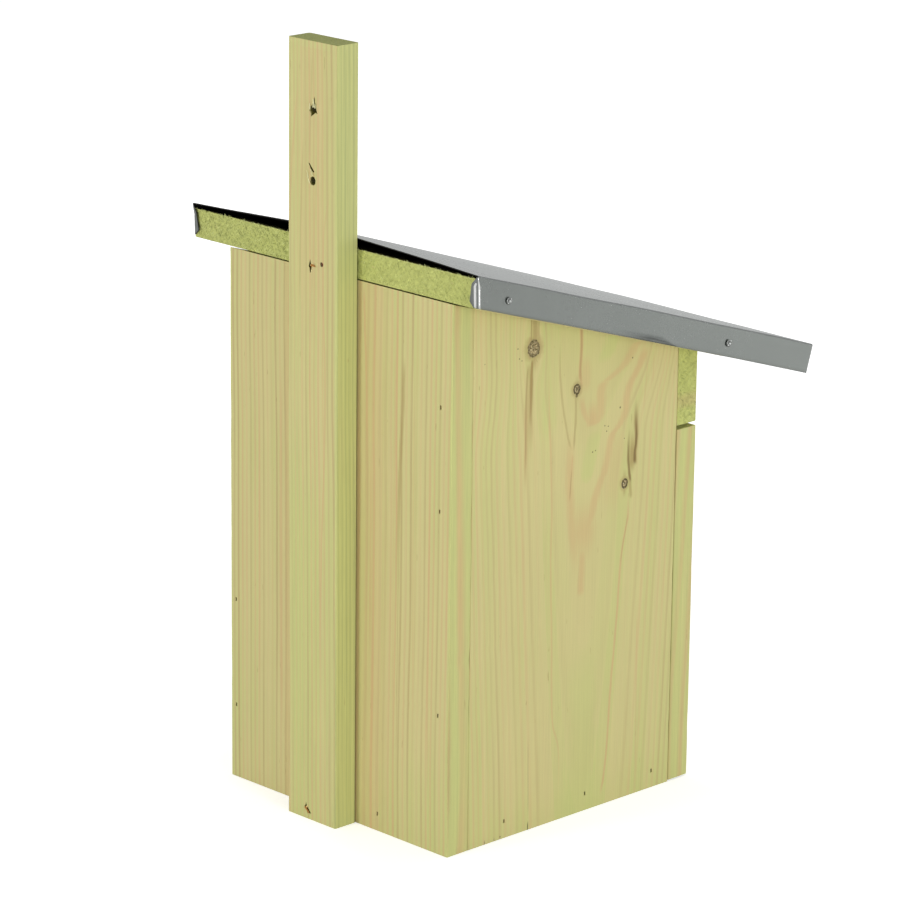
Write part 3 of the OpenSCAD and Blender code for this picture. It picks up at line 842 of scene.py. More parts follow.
def area_lamp(name, power, place):
    """A tall flat lamp that faces the middle of the box."""
    data = bpy.data.lights.new(name, "AREA")
    data.energy = power
    data.shape = "RECTANGLE"
    data.size, data.size_y = LAMP_SIZE
    low, high = CAD_BOX
    aim = (Vector(low) + Vector(high)) / 2 - place
    in_scene(name, data).matrix_world = pointing(place, aim, "-Z")


def lay_floor(tone, glow):
    """A wide pale floor that keeps the shadow."""
    material, w = new_material("pale_floor")
    seen = w.out("LightPath", output="Is Camera Ray")
    paint = w.out("BsdfDiffuse", {"Color": tone})
    lift = w.out("Emission", {"Color": (1, 1, 1), "Strength": seen * glow})
    shader = w.out("AddShader", {0: paint, 1: lift})
    w.node("OutputMaterial", {"Surface": shader})
    bm = bmesh.new()
    bmesh.ops.create_grid(bm, x_segments=1, y_segments=1, size=20)
    mesh_object("floor", bm, material)


class BIRDHOUSE_OT_pine(BirdHouseOperator):
    """Makes the node groups that every board's pine is built from"""

    bl_idname = "birdhouse.pine"
    bl_label = "Pine"

    def execute(self, context):
        rings_group()
        knot_group()
        vein_group()
        speck_group()
        pine_group(self.settings.pine)
        return {"FINISHED"}


# Two cracks up from the lowest knot of the left side panel, each with a dark line in a stain
LEFT_CRACK = ((56, 238), (54, 249), (53, 260), (53.8, 282))
RIGHT_CRACK = ((60, 250), (59.4, 259), (60.6, 269.5), (60.3, 281), (59.7, 302))
LEFT_SIDE_LINES = veins("pink", (
    (((3, 310), (3.4, 321), (2, 329), (2.6, 344), (2, 370)), 2.4, 0.95, (0.3, 0.05)),
    (((7, 312), (8, 328), (7, 344)), 7, 0.4, (0.3, 0.4)),
    (((14, 289), (8.5, 296.5), (5, 304.5), (3.3, 314)), 4.5, 0.6, (0, 0.4)),
    (((14, 289), (22, 294), (23.5, 303), (24.5, 314), (28, 320)), 7, 0.6, (0, 0.1)),
    (((27, 318), (38.5, 323), (49, 329), (54, 335), (61, 343)), 8, 0.55, (0.05, 0.1)),
    (((14.5, 287), (15.5, 298), (16, 310)), 8, 0.75, (0.15, 0.7)),
    (((4, 178), (9, 205), (15.5, 221), (21.5, 239), (30, 256), (35.5, 277), (43, 284), (49, 294),
     (50, 302), (52.5, 311), (58, 318.5), (64, 326), (69, 338)), 6, 0.65, (0.3, 0.05)),
    (((19, 234), (26, 247), (31, 260)), 6.5, 0.4, (0.4, 0.4)),
    (((42, 283), (49, 294), (51.5, 308)), 4.8, 0.5, (0.3, 0.4)),
    (((-6.5, 232), (-5.8, 244.5), (-4.6, 260.5), (-4.3, 275)), 1.3, 1.0),
    (((3, 176), (-3, 214), (-6, 245), (-6.5, 294)), 6, 0.6, (0.3, 0.3)),
    (((6, 163), (7, 178), (7.5, 204)), 5, 0.65, (0.15, 0.3)),
    (((7, 184), (8.5, 206), (8, 240)), 15, 0.6, (0.5, 0.5)),
    (((36, 212), (38, 250), (50, 292)), 14, 0.3, (0.4, 0.4)),
    (((-12.9, 12), (-12.3, 45), (-20, 79), (-22, 138), (-24.4, 212), (-24, 227), (-25.8, 270),
     (-28, 302), (-29.5, 334), (-32, 358)), 1.3, 0.6),
    (((31, 6), (36.3, 37), (39.3, 84), (44.4, 140), (47.5, 183), (49.3, 194), (52, 206), (54,
     216), (53.4, 233)), 1.5, 0.85, (0.05, 0.1)),
    (((68, 6), (65.5, 149)), 0.8, 0.45),
    (((66.7, 289), (69.2, 306), (71, 328)), 0.8, 0.45),
    (((76.4, 308), (77.6, 330)), 0.8, 0.45),
    (((-50.6, 250), (-51.2, 290), (-51, 326)), 2.4, 0.6, (0.4, 0.3)))) + veins("stain", (
    (((3, 318), (2.2, 330), (2.6, 350), (2.2, 366)), 1.6, 0.4, (0.2, 0.1)),
    (((-6.3, 236), (-5.7, 246), (-4.6, 262)), 0.8, 0.55, (0.3, 0.3)),
    (((-4.3, 273), (-8, 281), (-11.5, 294), (-15, 310), (-18, 332), (-19, 356)), 1.5, 0.35, (0.1,
     0.3)),
    (((-3.4, 272), (-2.4, 285), (-1.6, 297), (-1.9, 314)), 1.5, 0.45, (0.2, 0)),
    (((47, 178), (49.3, 194), (52, 206), (54, 218)), 0.7, 0.35),
    (((56.6, 226), (55.6, 234.5), (54, 247)), 2.4, 0.5),
    (LEFT_CRACK, 2.2, 0.8, (0.1, 0.6)),
    (RIGHT_CRACK, 3.2, 0.95, (0.1, 0.5)),
    (((57, 244), (57, 259), (57.5, 280)), 4.6, 0.7, (0.3, 0.5)),
    (((-43.5, 357), (-43.7, 380)), 4.4, 0.6, (0.1, 0.1)),
    (((-47, 358), (-47.4, 380)), 0.9, 0.7, (0.1, 0.1)),
    (((-39.8, 356), (-40.1, 380)), 0.8, 0.6, (0.1, 0.1)),
    (((-50.6, 250), (-51.2, 290), (-51, 326), (-49, 347)), 1.4, 0.6, (0.4, 0.1)),
    (((-46.6, 284), (-46.6, 318), (-46.4, 340), (-44.9, 351)), 2.4, 0.85, (0.5, 0.1)),
    (((-43.8, 350), (-40.4, 343.5)), 0.9, 0.5, (0.1, 0.3)),
    (((-47.8, 270), (-47.6, 348)), 5, 0.35, (0.4, 0.1)))) + veins("green", (
    (((8, 240), (13, 262), (20, 292)), 13, 0.7, (0.3, 0.3)),
    (((22, 326), (30, 340), (44, 372)), 14, 0.75, (0.3, 0.1)),
    (((-26, 270), (-26, 330), (-28, 380)), 15, 0.6, (0.3, 0.1)),
    (((10, -5), (10, 90), (4, 165)), 30, 0.6, (0, 0.5)),
    (((-95, -5), (-96, 100), (-95, 200)), 22, 0.45, (0, 0.6)),
    (((0, -5), (0, 60)), 200, 0.45, (0, 0.9)),
    (((20, -5), (20, 380)), 115, 0.28, (0, 0)))) + veins("rim", (
    (LEFT_CRACK, 1.4, 0.42, (0.1, 0.6)),
    (RIGHT_CRACK, 1.7, 0.45, (0.1, 0.6)),
    (((-42.8, 8), (-44.2, 72)), 0.5, 0.3),
    (((-43, -1), (-43, 7.5)), 0.7, 0.9, (0, 0.5)),
    (((-86.2, -1), (-86.2, 4)), 0.5, 0.7, (0, 0.5)),
    (((-76.7, -1), (-76.7, 3.5)), 0.5, 0.6, (0, 0.5))))
LEFT_SIDE_SPECKS = (
    (43.4, 296.6, 1.0), (-60.2, 357.4, 0.7), (-58.6, 350, 0.7), (-56.1, 348.2, 0.6),
    (48.3, 273, 0.6), (28, 286, 0.7), (31.5, 285, 0.7), (30, 281.7, 0.7), (16, 269, 0.8),
    (19, 269.6, 0.7), (-1.2, 313.2, 1.6), (-70.7, 2, 0.8), (55, 331, 0.8), (-92, 352, 0.5))
# Towards its top it is made lighter: painted light under the eave
LEFT_SIDE = Grain(
    across=(0, -1, 0), pith=(10, 66), ring_width=4.0, taper=1 / 124, wander=2.0, contrast=0.5,
    flare=(275, 0.5, 8), greenness=0.14, warmth=0.35, plain=(12, 52), paler=(200, 350, 0.055),
    knots=(Knot(-44.7, 355, 6.0, 20, 1.0, 1.05), Knot(-1.1, 318, 3.4, 12, 1.6),
           Knot(49.7, 239.4, 3.2, 12, 1.6)),
    veins=LEFT_SIDE_LINES, specks=LEFT_SIDE_SPECKS)


def roof_frame():
    """The roof's own frame: X across, Y up the slope, Z square to the boards."""
    boards = [NODES[name].data for name in ROOF_BOARDS]
    top = max(boards[0].polygons, key=lambda face: face.area * face.normal.z).normal
    places = [vert.co for mesh in boards for vert in mesh.vertices]
    rear = max(place.y for place in places)
    under = min(place.dot(top) for place in places)
    middle = (min(place.x for place in places) + max(place.x for place in places)) / 2
    origin = Vector((middle, rear, (under - top.y * rear) / top.z))
    return Matrix.Translation(origin) @ Matrix.Rotation(math.atan2(-top.y, top.z), 4, "X")


ROOF = roof_frame()
UP_SLOPE = tuple(ROOF.col[1].xyz)


BACK_LINES = veins("pink", (
    (((-36, -5), (-38, 200), (-36, 400)), 26, 0.28, (0, 0)),
    (((38, -5), (37, 200), (38, 400)), 15, 0.22, (0, 0)),
    (((-30, 250), (-29, 330), (-27, 372), (-26, 400)), 1.8, 0.85, (0.4, 0.1)),
    (((-33, 96), (-34, 200), (-33.5, 330)), 2.0, 0.7, (0.3, 0.4)),
    (((-46, 30), (-45, 200), (-46, 380)), 1.0, 0.4),
    (((-57, 60), (-57.5, 250), (-58, 390)), 1.5, 0.4),
    (((-78, 90), (-77, 300), (-78, 360)), 1.2, 0.4),
    (((-94, 20), (-93, 180), (-94.5, 300)), 1.2, 0.45),
    (((58, 40), (60, 180), (59, 330)), 2.6, 0.55),
    (((50, -5), (51, 200), (51, 400)), 7, 0.45, (0, 0)),
    (((52, 110), (49, 200), (51, 260)), 1.2, 0.6),
    (((44, 60), (46, 130), (45, 210)), 1.4, 0.8))) + veins("green", (
    (((-80, -5), (-80, 120)), 60, 0.25, (0, 0.8)),)) + veins("stain", (
    (((-61, 150), (-63, 265), (-66, 323), (-66.5, 356)), 2.4, 0.5, (0.6, 0.1)),
    (((-61.5, 40), (-62, 160), (-64, 280)), 0.7, 0.35, (0.3, 0.3))))


class BIRDHOUSE_OT_box(BirdHouseOperator):
    """Dresses the back panel, the side panels and the floor"""

    bl_idname = "birdhouse.box"
    bl_label = "Box panels"

    def execute(self, context):
        look = self.settings.pine
        board("back_panel", Grain(
            pith=(-5, -28), ring_width=4.2, taper=0.0008, warmth=0.55, wander=3, contrast=0.95,
            edge_green=0.5, veins=BACK_LINES), look)
        board("left_side_panel", LEFT_SIDE, look)
        board("right_side_panel", Grain(across=(0, 1, 0), pith=(-30, 70)), look)
        board("floor_panel", Grain(across=(0, 1, 0), along=(1, 0, 0), pith=(15, 45)), look)
        return {"FINISHED"}


class BIRDHOUSE_OT_front(BirdHouseOperator):
    """Dresses the door and the fixed board above it"""

    bl_idname = "birdhouse.front"
    bl_label = "Front boards"

    def execute(self, context):
        look = self.settings.pine
        board("door_panel", Grain(
            pith=(25, 55), ring_width=4.6, wander=4, warmth=0.25, contrast=0.6, edge_green=0.4,
            knots=(Knot(62, 70, 4.5, 70),)), look)
        # The seam on its ends is painted shade where it meets the side panels
        board("front_top_board", Grain(
            across=(0, 0, 1), along=(1, 0, 0), pith=(-52, 30), ring_width=4.2, end_tone=1.07,
            end_torn=0.7, seam=(FAR_OFF, HALF_BOARD),
            veins=veins("pink", ((((-12, -10), (-12, 14)), 8, 0.9, (0, 0.6)),))), look)
        return {"FINISHED"}


def tear_end(bm, look):
    """Roughens a roof board's sawn rear end."""
    rear = max(vert.co.y for vert in bm.verts)

    def end_faces():
        return [face for face in bm.faces
                if all(vert.co.y > rear - 0.6 * MM for vert in face.verts)]

    spots = [vert.co.copy() for face in end_faces() for vert in face.verts]
    for axis in (Vector((1, 0, 0)), Vector((0, 0, 1))):
        low, high = reach(spots, axis)
        for k in range(1, int((high - low) / look.tear_pitch)):
            level = low + k * look.tear_pitch
            spans = ((face, *reach([vert.co for vert in face.verts], axis))
                     for face in end_faces())
            faces = [face for face, first, last in spans if first < level < last]
            edges = dict.fromkeys(edge for face in faces for edge in face.edges)
            verts = dict.fromkeys(vert for face in faces for vert in face.verts)
            bmesh.ops.bisect_plane(bm, geom=[*verts, *edges, *faces], dist=1e-6, plane_no=axis,
                                   plane_co=axis * level)
    ends = set(end_faces())
    inner = [vert for vert in bm.verts if vert.link_faces
             and all(face in ends for face in vert.link_faces)]
    for vert in inner:
        saw = noise.fractal(vert.co / (5 * MM), 0.9, 2.1, 4)
        pit = max(0, noise.noise(vert.co / (2.2 * MM)) - 0.2)
        vert.co += Vector((0, 0.4 * saw - 1.2 * pit - 0.1, 0.4 * saw)) * look.tear


def end_fibres(node, look, chance):
    """Torn fibres along the upper rear edge of a roof board and on its rear end."""
    bm = bmesh.new()
    low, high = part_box(node)
    slope = (ROOF @ Vector((0, 0, 1)) - ROOF.translation).normalized()
    top_edge = max(vert.co.dot(slope) for vert in NODES[node].data.vertices)
    crest = (top_edge - slope.y * high.y) / slope.z
    for k in range(look.fibres):
        x = chance.uniform(low.x + MM, high.x - MM)
        tuft = max(0, 0.5 + noise.noise(Vector((x / (9 * MM), 3, 7))))
        along_top = k % 3 > 0
        drop = 0.3 * MM if along_top else chance.uniform(1, 19) * MM
        root = Vector((x, high.y - 0.2 * MM, crest - drop))
        lean = Vector((chance.uniform(-0.6, 0.6), chance.uniform(0.2, 0.8),
                       chance.uniform(0.2, 1) if along_top else chance.uniform(-0.6, 0.6)))
        reach = chance.uniform(0.6, 2.2) * (0.4 + tuft) * MM
        fibre(bm, root, lean, reach, chance.uniform(0.2, 0.45) * MM)
    return bm


def fibre(bm, root, lean, reach, width):
    """One torn fibre: a thin spike that leans away from its root."""
    axis = lean.normalized() * reach
    bmesh.ops.create_cone(bm, cap_ends=True, segments=4, radius1=width, radius2=width * 0.2,
                          depth=reach * 1.3, matrix=pointing(root + axis * 0.35, axis))


# Raw fibres and dull coats hardly shine
MATT = {"Specular IOR Level": 0.2}


def plain_material(name, tone, roughness):
    """A plain material of one colour."""
    material, w = new_material(name)
    w.surface(tone, roughness, MATT)
    return material


class BIRDHOUSE_OT_roof(BirdHouseOperator):
    """Dresses the two roof boards and gives their rear ends torn fibres"""

    bl_idname = "birdhouse.roof"
    bl_label = "Roof boards"

    def execute(self, context):
        look = self.settings.pine
        pale = plain_material("torn_fibre", look.fibre_tone, 0.8)
        for node, pith, torn in zip(ROOF_BOARDS, ((-25, 34), (14, 16)), (0.6, 1.0)):
            grain = Grain(along=UP_SLOPE, pith=pith, ring_width=3.8, end_torn=torn)
            board(node, grain, look, rough_end=tear_end)
            bm = end_fibres(node, look, random.Random(node))
            finished(node + "_fibres", bm, "box", pale, slot="treated_pine")
        return {"FINISHED"}


BATTEN_LINES = veins("pink", (
    (((2, 340), (0, 450), (0, 560)), 24, 0.22, (0.3, 0)),
    (((-8, 92), (-10, 200), (-13.4, 316), (-11, 415), (-16, 454), (-22, 495)), 1.3, 0.7),
    (((25, 415), (22.6, 455), (19.8, 492), (13.5, 540)), 1.4, 0.6),
    (((0.5, 380), (-1.4, 426), (-5, 480)), 1.2, 0.5))) + veins("green", (
    (((8, -5), (8, 160), (10, 330)), 30, 0.4, (0, 0.4)),)) + veins("stain", (
    (((13, 380), (11.5, 449), (9, 500)), 1.0, 0.25),
    (((3, 480), (2, 512), (0, 560)), 0.9, 0.2)))

# On the batten's face, in millimetres from a hole or a screw tip: towards the right side of
# the box, then up. A chip is given by its root, its tip and its width.
TORN_EXITS = (
    (((-2.2, 10.2), (-2.8, 6), (-4.2, 3.4), (-4.4, 0), (-6, -3.4), (-3.2, -2.8), (-0.4, -4.8),
      (2.2, -6.4), (2.1, -4.2), (4.2, -1.8), (3.4, 0.8), (0.6, 3.2), (-1, 7)),),
    (((0, 3.6), (-2.4, 3), (-3.8, 0.6), (-3.4, -2.2), (-1.2, -3.8), (1.8, -3.4), (3.4, -1),
      (2.6, 1.8)),
     ((4.6, 12.6), (3, 12.2), (-2.4, 6.4), (-1.6, 4.8), (2.4, 8.2))))
TORN_TIPS = (
    (((0.2, 5.4), (-0.8, 1.8), (-1.6, -0.6), (-0.6, -5.2), (0.5, -6), (1.2, -1.6), (1.8, 0.8),
      (1.1, 2.4)),),
    (((0.5, 4.8), (-0.6, 1.6), (-2.6, -0.2), (-5.2, -3.4), (-4.6, -4.6), (-1, -2.6), (2.8, 0.4),
      (1.6, 1.2)),))
CHIPS = (
    (((-0.4, 1.2), (-2.2, 7.2), 1.8), ((-2, 1), (-3.8, 4.2), 1.2), ((3.4, -1), (1.6, 4), 1)),
    (((3, -3), (4.2, 3.6), 1.1), ((2, 5.2), (-1.8, 4), 1.2), ((4, 0), (4.6, 6.6), 0.9),
     ((3, 8), (-0.8, 5.6), 0.9)),
    (((-0.8, 0.9), (-6, 0.2), 1.8), ((-0.8, -0.4), (-4.4, 1.4), 1.3)),
    (((1.6, -0.4), (-4.2, -2.8), 1.7), ((0.4, -1.2), (-3, -3.6), 1.2)))


# How deep a torn pit goes into the batten
PIT_DEPTH = 2.4 * MM


def face_place(spot):
    """A place on the batten's rear face: X to the box's right, Y out of the wood, Z up."""
    return Matrix.Translation(Vector((spot.x, REAR_FACE, spot.z)))


def mount_holes():
    """The two holes at the top of the batten, upper first."""
    low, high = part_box("mounting_batten")
    margin = 5 * MM
    bm = merged_copy("mounting_batten")
    spots = [vert.co.copy() for vert in bm.verts if abs(vert.co.y - REAR_FACE) < 0.01 * MM]
    bm.free()
    rims = [spot for spot in spots if low.x + margin < spot.x < high.x - margin
            and low.z + 0.75 * (high.z - low.z) < spot.z < high.z - margin]
    split = middle(rims).z
    return [face_place(middle([spot for spot in rims if (spot.z > split) == upper]))
            for upper in (True, False)]


def screw_tips():
    """Where the two batten screws come up under the batten's face, upper first."""
    bm = merged_copy("batten_screws")
    tips = [max((vert.co.copy() for vert in part), key=lambda spot: spot.y)
            for part in islands(bm)]
    bm.free()
    return [face_place(tip) for tip in sorted(tips, key=lambda spot: -spot.z)]


def pits(place, outlines):
    """Solids with ragged outlines that narrow into the wood."""
    bm = bmesh.new()
    for outline in outlines:
        rim = [bm.verts.new(place @ (Vector((x, 1, z)) * MM)) for x, z in outline]
        face = bm.faces.new(rim)
        floor = bmesh.ops.extrude_face_region(bm, geom=[face])["geom"]
        verts = picked(floor, bmesh.types.BMVert)
        core = sum((vert.co for vert in verts), Vector()) / len(verts)
        bmesh.ops.translate(bm, verts=verts, vec=(0, -PIT_DEPTH - MM, 0))
        bmesh.ops.scale(bm, verts=verts, vec=(0.45, 1, 0.6), space=Matrix.Translation(-core))
    bmesh.ops.recalc_face_normals(bm, faces=bm.faces)
    return bm


def carve(piece, bm, material):
    """Cuts a shape out of a piece. The fresh faces take the raw material."""
    tool = mesh_object("cutter", bm, material)
    boolean = piece.modifiers.new("carve", "BOOLEAN")
    boolean.object = tool
    boolean.operation = "DIFFERENCE"
    boolean.solver = "EXACT"
    boolean.material_mode = "TRANSFER"
    graph = bpy.context.evaluated_depsgraph_get()
    piece.data = bpy.data.meshes.new_from_object(piece.evaluated_get(graph))
    piece.modifiers.clear()
    bpy.data.objects.remove(tool)
    if not piece.data.polygons:
        raise RuntimeError(piece.name + " was carved away")


def chip(bm, place, root, tip, width):
    """A thin chip of wood that stands off the batten's face, from its root to its tip."""
    start = place @ (Vector((root[0], -0.6, root[1])) * MM)
    end = place @ (Vector((tip[0], 1.1, tip[1])) * MM)
    axis = end - start
    cone = bmesh.ops.create_cone(bm, cap_ends=True, segments=5, radius1=width * MM / 2,
                                 radius2=width * MM / 7, depth=axis.length,
                                 matrix=pointing((start + end) / 2, axis))
    for vert in cone["verts"]:
        vert.co += axis.normalized() * noise.noise(vert.co / MM) * 0.8 * MM


def torn_material(name, dark, pale):
    """Raw torn wood: pale fibres, with painted shade that darkens them deep in a pit."""
    material, w = new_material(name)
    place = w.place()
    depth = (REAR_FACE - w.split(place)[1]) * (1 / MM)
    fibre = w.noise(place, (900, 900, 160), 2.0)
    # Painted shade: the deeper in the pit, the darker
    tint = w.blend(w.step(depth + fibre * 1.4, -0.6, 0.9), pale, dark)
    w.surface(w.shade(tint, 1 + fibre * 0.6), 0.8, MATT)
    return material


class BIRDHOUSE_OT_batten(BirdHouseOperator):
    """Dresses the mounting batten"""

    bl_idname = "birdhouse.batten"
    bl_label = "Mounting batten"

    def execute(self, context):
        look = self.settings.pine
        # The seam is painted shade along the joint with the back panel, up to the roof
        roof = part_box("roof_board_left")[1].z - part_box("mounting_batten")[0].z
        # Its bores get painted shade inside
        grain = Grain(pith=(-70, -60), ring_width=3.0, taper=0.002, wander=2.5, contrast=0.75,
                      end_tone=0.66, greenness=0.42, edge_green=0.75,
                      seam=(HALF_BOARD, FAR_OFF), seam_top=roof / MM, bores=(400, 550),
                      fibre=1.5, veins=BATTEN_LINES)
        piece = board("mounting_batten", grain, look)
        raw = torn_material("torn_pine_pit_shade", look.torn, look.early)
        holes, tips = mount_holes(), screw_tips()
        for place, outlines in zip(holes + tips, TORN_EXITS + TORN_TIPS):
            carve(piece, pits(place, outlines), raw)
        pale = plain_material("pale_splinter", look.splinter, 0.7)
        rusty = plain_material("rusty_splinter", look.rusty, 0.8)
        for name, material, places, sets in (("hole_splinters", pale, holes, CHIPS[:2]),
                                             ("screw_splinters", rusty, tips, CHIPS[2:])):
            splinters = bmesh.new()
            for place, chips in zip(places, sets):
                for root, tip, width in chips:
                    chip(splinters, place, root, tip, width)
            finished(name, splinters, "box", material, slot="treated_pine")
        return {"FINISHED"}


class BIRDHOUSE_OT_roof_sheet(BirdHouseOperator):
    """Folds the roof sheet: a crowned top, three flanges and two ears round the rear corners"""

    bl_idname = "birdhouse.roof_sheet"
    bl_label = "Roof sheet"

    def execute(self, context):
        look = self.settings.sheet
        zinc = zinc_material("galvanised_sheet", look.zinc)
        # Painted shade: the near-black coat on the underside and the rims of the sheet
        coat = underside_shade_material("sheet_underside_shade", look.back_coat)
        # Painted highlight: bright metal on the corner folds in place of a glint of light
        highlight_metal = steel_material("painted_highlight_zinc", look.rubbed, look.zinc, 0, 0.22)
        # Painted shade: dark metal in the folds, the groove and the turn, and on most of the right
        # rear corner
        dull = plain_material("fold_shade_zinc", look.creased, 0.6)
        # Each metal is followed by the near-black coat, painted shade, which the thickness gives to
        # its underside and its rims
        piece = finished("roof_sheet_cover", folded_sheet(look), "box", zinc, coat, highlight_metal, coat,
                         dull, coat, slot="galvanised_sheet")
        solid = piece.modifiers.new("thickness", "SOLIDIFY")
        solid.thickness = look.thickness
        solid.offset = 0
        solid.material_offset = 1
        # The rims take the coat too: painted shadow lines along the cut edges
        solid.material_offset_rim = 1
        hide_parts("roof_sheet")
        return {"FINISHED"}


# How finely the sheet is divided
GRID_ACROSS, GRID_ALONG = 44, 120
FLANGE_ROWS = 9

# Places of the materials in the list of the sheet
HIGHLIGHT, FOLD_SHADE = 2, 4

# Shares of the flange's height: where a corner is fully open, and from where the right one takes
# its painted highlight
OPEN_FROM = 0.32
RIGHT_HIGHLIGHT_FROM = 0.8

# An ear's height as a share of the flange's, and its width at the top as a share of its foot's
EAR_HEIGHT = 0.83
EAR_TOP = 0.1

# How far the dent of a nail and the bulge of a corner reach, and the size of the waves
DENT_REACH = 5 * MM
BULGE_REACH = 16 * MM
WAVE_SIZE = 70 * MM


def round_rear_corners(bm, look, rear):
    """Folds the side flanges round the rear corners: two folds with a painted highlight, a groove
    and a turn in painted shade, and an ear.
    """
    edges = [edge for edge in bm.edges if edge.is_boundary
             and all(vert.co.y > rear - MM for vert in edge.verts)
             and abs(edge.verts[0].co.z - edge.verts[1].co.z) > 0.5 * MM]
    for vert in dict.fromkeys(vert for edge in edges for vert in edge.verts):
        vert.co.y -= look.setback * opening(vert, look)
    # Its first and last heading in degrees, its length, its rows, the share of the flange where
    # it starts on the left, and its material
    for first, last, run, count, start, material in (
            (0, 50, look.outer_fold, 5, 0.05, HIGHLIGHT), (50, 50, look.groove, 1, 0.05, FOLD_SHADE),
            (25, 64, look.inner_fold, 3, 0.27, HIGHLIGHT), (64, 90, look.turn_in, 2, 0, FOLD_SHADE)):
        for k in range(count):
            heading = math.radians(first + (last - first) * (k + 0.5) / count)
            verts, edges = grow(bm, edges)
            for vert in verts:
                step = run / count * opening(vert, look)
                vert.co.x -= math.copysign(step * math.sin(heading), vert.co.x)
                vert.co.y += step * math.cos(heading)
            # Low enough on the flange, a face takes the painted highlight or the painted shade of
            # its part; the rest of the right corner takes painted shade
            for face in dict.fromkeys(face for edge in edges for face in edge.link_faces):
                core = face.calc_center_median()
                if -core.z > (RIGHT_HIGHLIGHT_FROM if core.x > 0 else start) * look.flange:
                    face.material_index = material
                elif core.x > 0:
                    face.material_index = FOLD_SHADE
    verts, edges = grow(bm, edges)
    for vert in verts:
        width = look.ear * (EAR_TOP - (1 - EAR_TOP) * vert.co.z / look.flange)
        vert.co.x -= math.copysign(width, vert.co.x)
        vert.co.z *= EAR_HEIGHT


def opening(vert, look):
    """How far a rear corner is folded at a height: little at the top, and 1 from a third down."""
    return max(0.1, min(1, -vert.co.z / look.flange / OPEN_FROM)) ** 1.3


def grow(bm, edges):
    """Extrudes edges on the spot. Returns the new vertices and the new edges."""
    grown = bmesh.ops.extrude_edge_only(bm, edges=edges)["geom"]
    verts = picked(grown, bmesh.types.BMVert)
    return verts, [edge for edge in picked(grown, bmesh.types.BMEdge)
                   if all(vert in verts for vert in edge.verts)]


def flat_sheet(look, half, rear, front):
    """The sheet with a flat top, its flanges folded down and its rear corners folded round."""
    bm = bmesh.new()
    bmesh.ops.create_grid(bm, x_segments=GRID_ACROSS, y_segments=GRID_ALONG, size=1)
    bmesh.ops.scale(bm, verts=bm.verts, vec=(half, (rear - front) / 2, 1))
    bmesh.ops.translate(bm, verts=bm.verts, vec=(0, (rear + front) / 2, 0))
    hem = [edge for edge in bm.edges if edge.is_boundary
           and not all(vert.co.y > rear - MM for vert in edge.verts)]
    for _ in range(FLANGE_ROWS):
        verts, hem = grow(bm, hem)
        bmesh.ops.translate(bm, verts=verts, vec=(0, 0, -look.flange / FLANGE_ROWS))
    corners = [edge for edge in bm.edges
               if len(edge.link_faces) == 2 and edge.calc_face_angle(0) > math.radians(30)]
    folds = bmesh.ops.bevel(bm, geom=corners, offset=look.bend, segments=4, profile=0.5,
                            affect="EDGES", material=-1)["faces"]
    # Every fold takes painted shade: a dark line along the bend
    for face in folds:
        face.material_index = FOLD_SHADE
    round_rear_corners(bm, look, rear)
    bmesh.ops.recalc_face_normals(bm, faces=bm.faces)
    if max(bm.faces, key=lambda face: face.calc_area()).normal.z < 0:
        bmesh.ops.reverse_faces(bm, faces=bm.faces)
    return bm


def folded_sheet(look):
    """The middle surface of the sheet, crowned, sprung and dented, in the row frame."""
    boxes = [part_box(name) for name in ROOF_BOARDS]
    proud = look.gap + look.thickness / 2
    half = (max(high.x for _, high in boxes) - min(low.x for low, _ in boxes)) / 2 + proud
    local = ROOF.inverted()
    places = [local @ vert.co for vert in NODES["roof_board_left"].data.vertices]
    rear, front = proud, min(place.y for place in places) - proud
    base = max(place.z for place in places) + proud
    square = ROOF.col[2]
    lean = -square.y / square.z
    nails = [local @ place.translation for place in fasteners("roof_sheet_nails")]
    bm = flat_sheet(look, half, rear, front)
    for vert in bm.verts:
        x, y, z = vert.co
        forward = (rear - y) / (rear - front)
        crown = look.crown_rear + (look.crown_front - look.crown_rear) * forward
        side = max(-1, min(1, x / half))
        raised = max(0, 1 + z / look.flange)
        away = abs(side - look.ridge) / (1 - math.copysign(look.ridge, side - look.ridge))
        rise = crown * (1 - away ** 1.1) * raised
        rise += look.lift * (1 - max(0, forward) ** 2.4) + look.tilt * side * (1 - forward)
        uneven = look.wave * noise.noise(vert.co / WAVE_SIZE)
        if z > -MM:
            out = Vector((0, 0, 1))
        else:
            out = Vector((0, -1, 0)) if forward > 0.995 else Vector((math.copysign(1, x), 0, 0))
        near = max(0, 1 - max(0, rear - y) / BULGE_REACH) ** 2
        spot = Vector((x, y, base + z))
        pressed = max((1 - (spot - nail).length / DENT_REACH for nail in nails), default=0)
        uneven -= look.dent * max(0, pressed) ** 2 * 2
        height = base + z + rise
        y += (height * lean - look.askew * (1 - side) / 2) * (1 - forward)
        y -= look.tuck * max(0, -z / look.flange) * near
        x *= 1 + look.bulge / half * near
        vert.co = Vector((x, y, height)) + out * uneven
    bmesh.ops.transform(bm, matrix=ROOF, verts=bm.verts)
    for face in bm.faces:
        face.smooth = True
    return bm


def turned(bm, profile, place):
    """Spins (radius, height) points in millimetres round the Z axis of a place."""
    verts = [bm.verts.new(place @ Vector((radius * MM, 0, height * MM)))
             for radius, height in profile]
    edges = [bm.edges.new(pair) for pair in zip(verts, verts[1:])]
    bmesh.ops.spin(bm, geom=verts + edges, cent=place.translation, axis=place.col[2].xyz,
                   angle=math.tau, steps=20, use_merge=True)


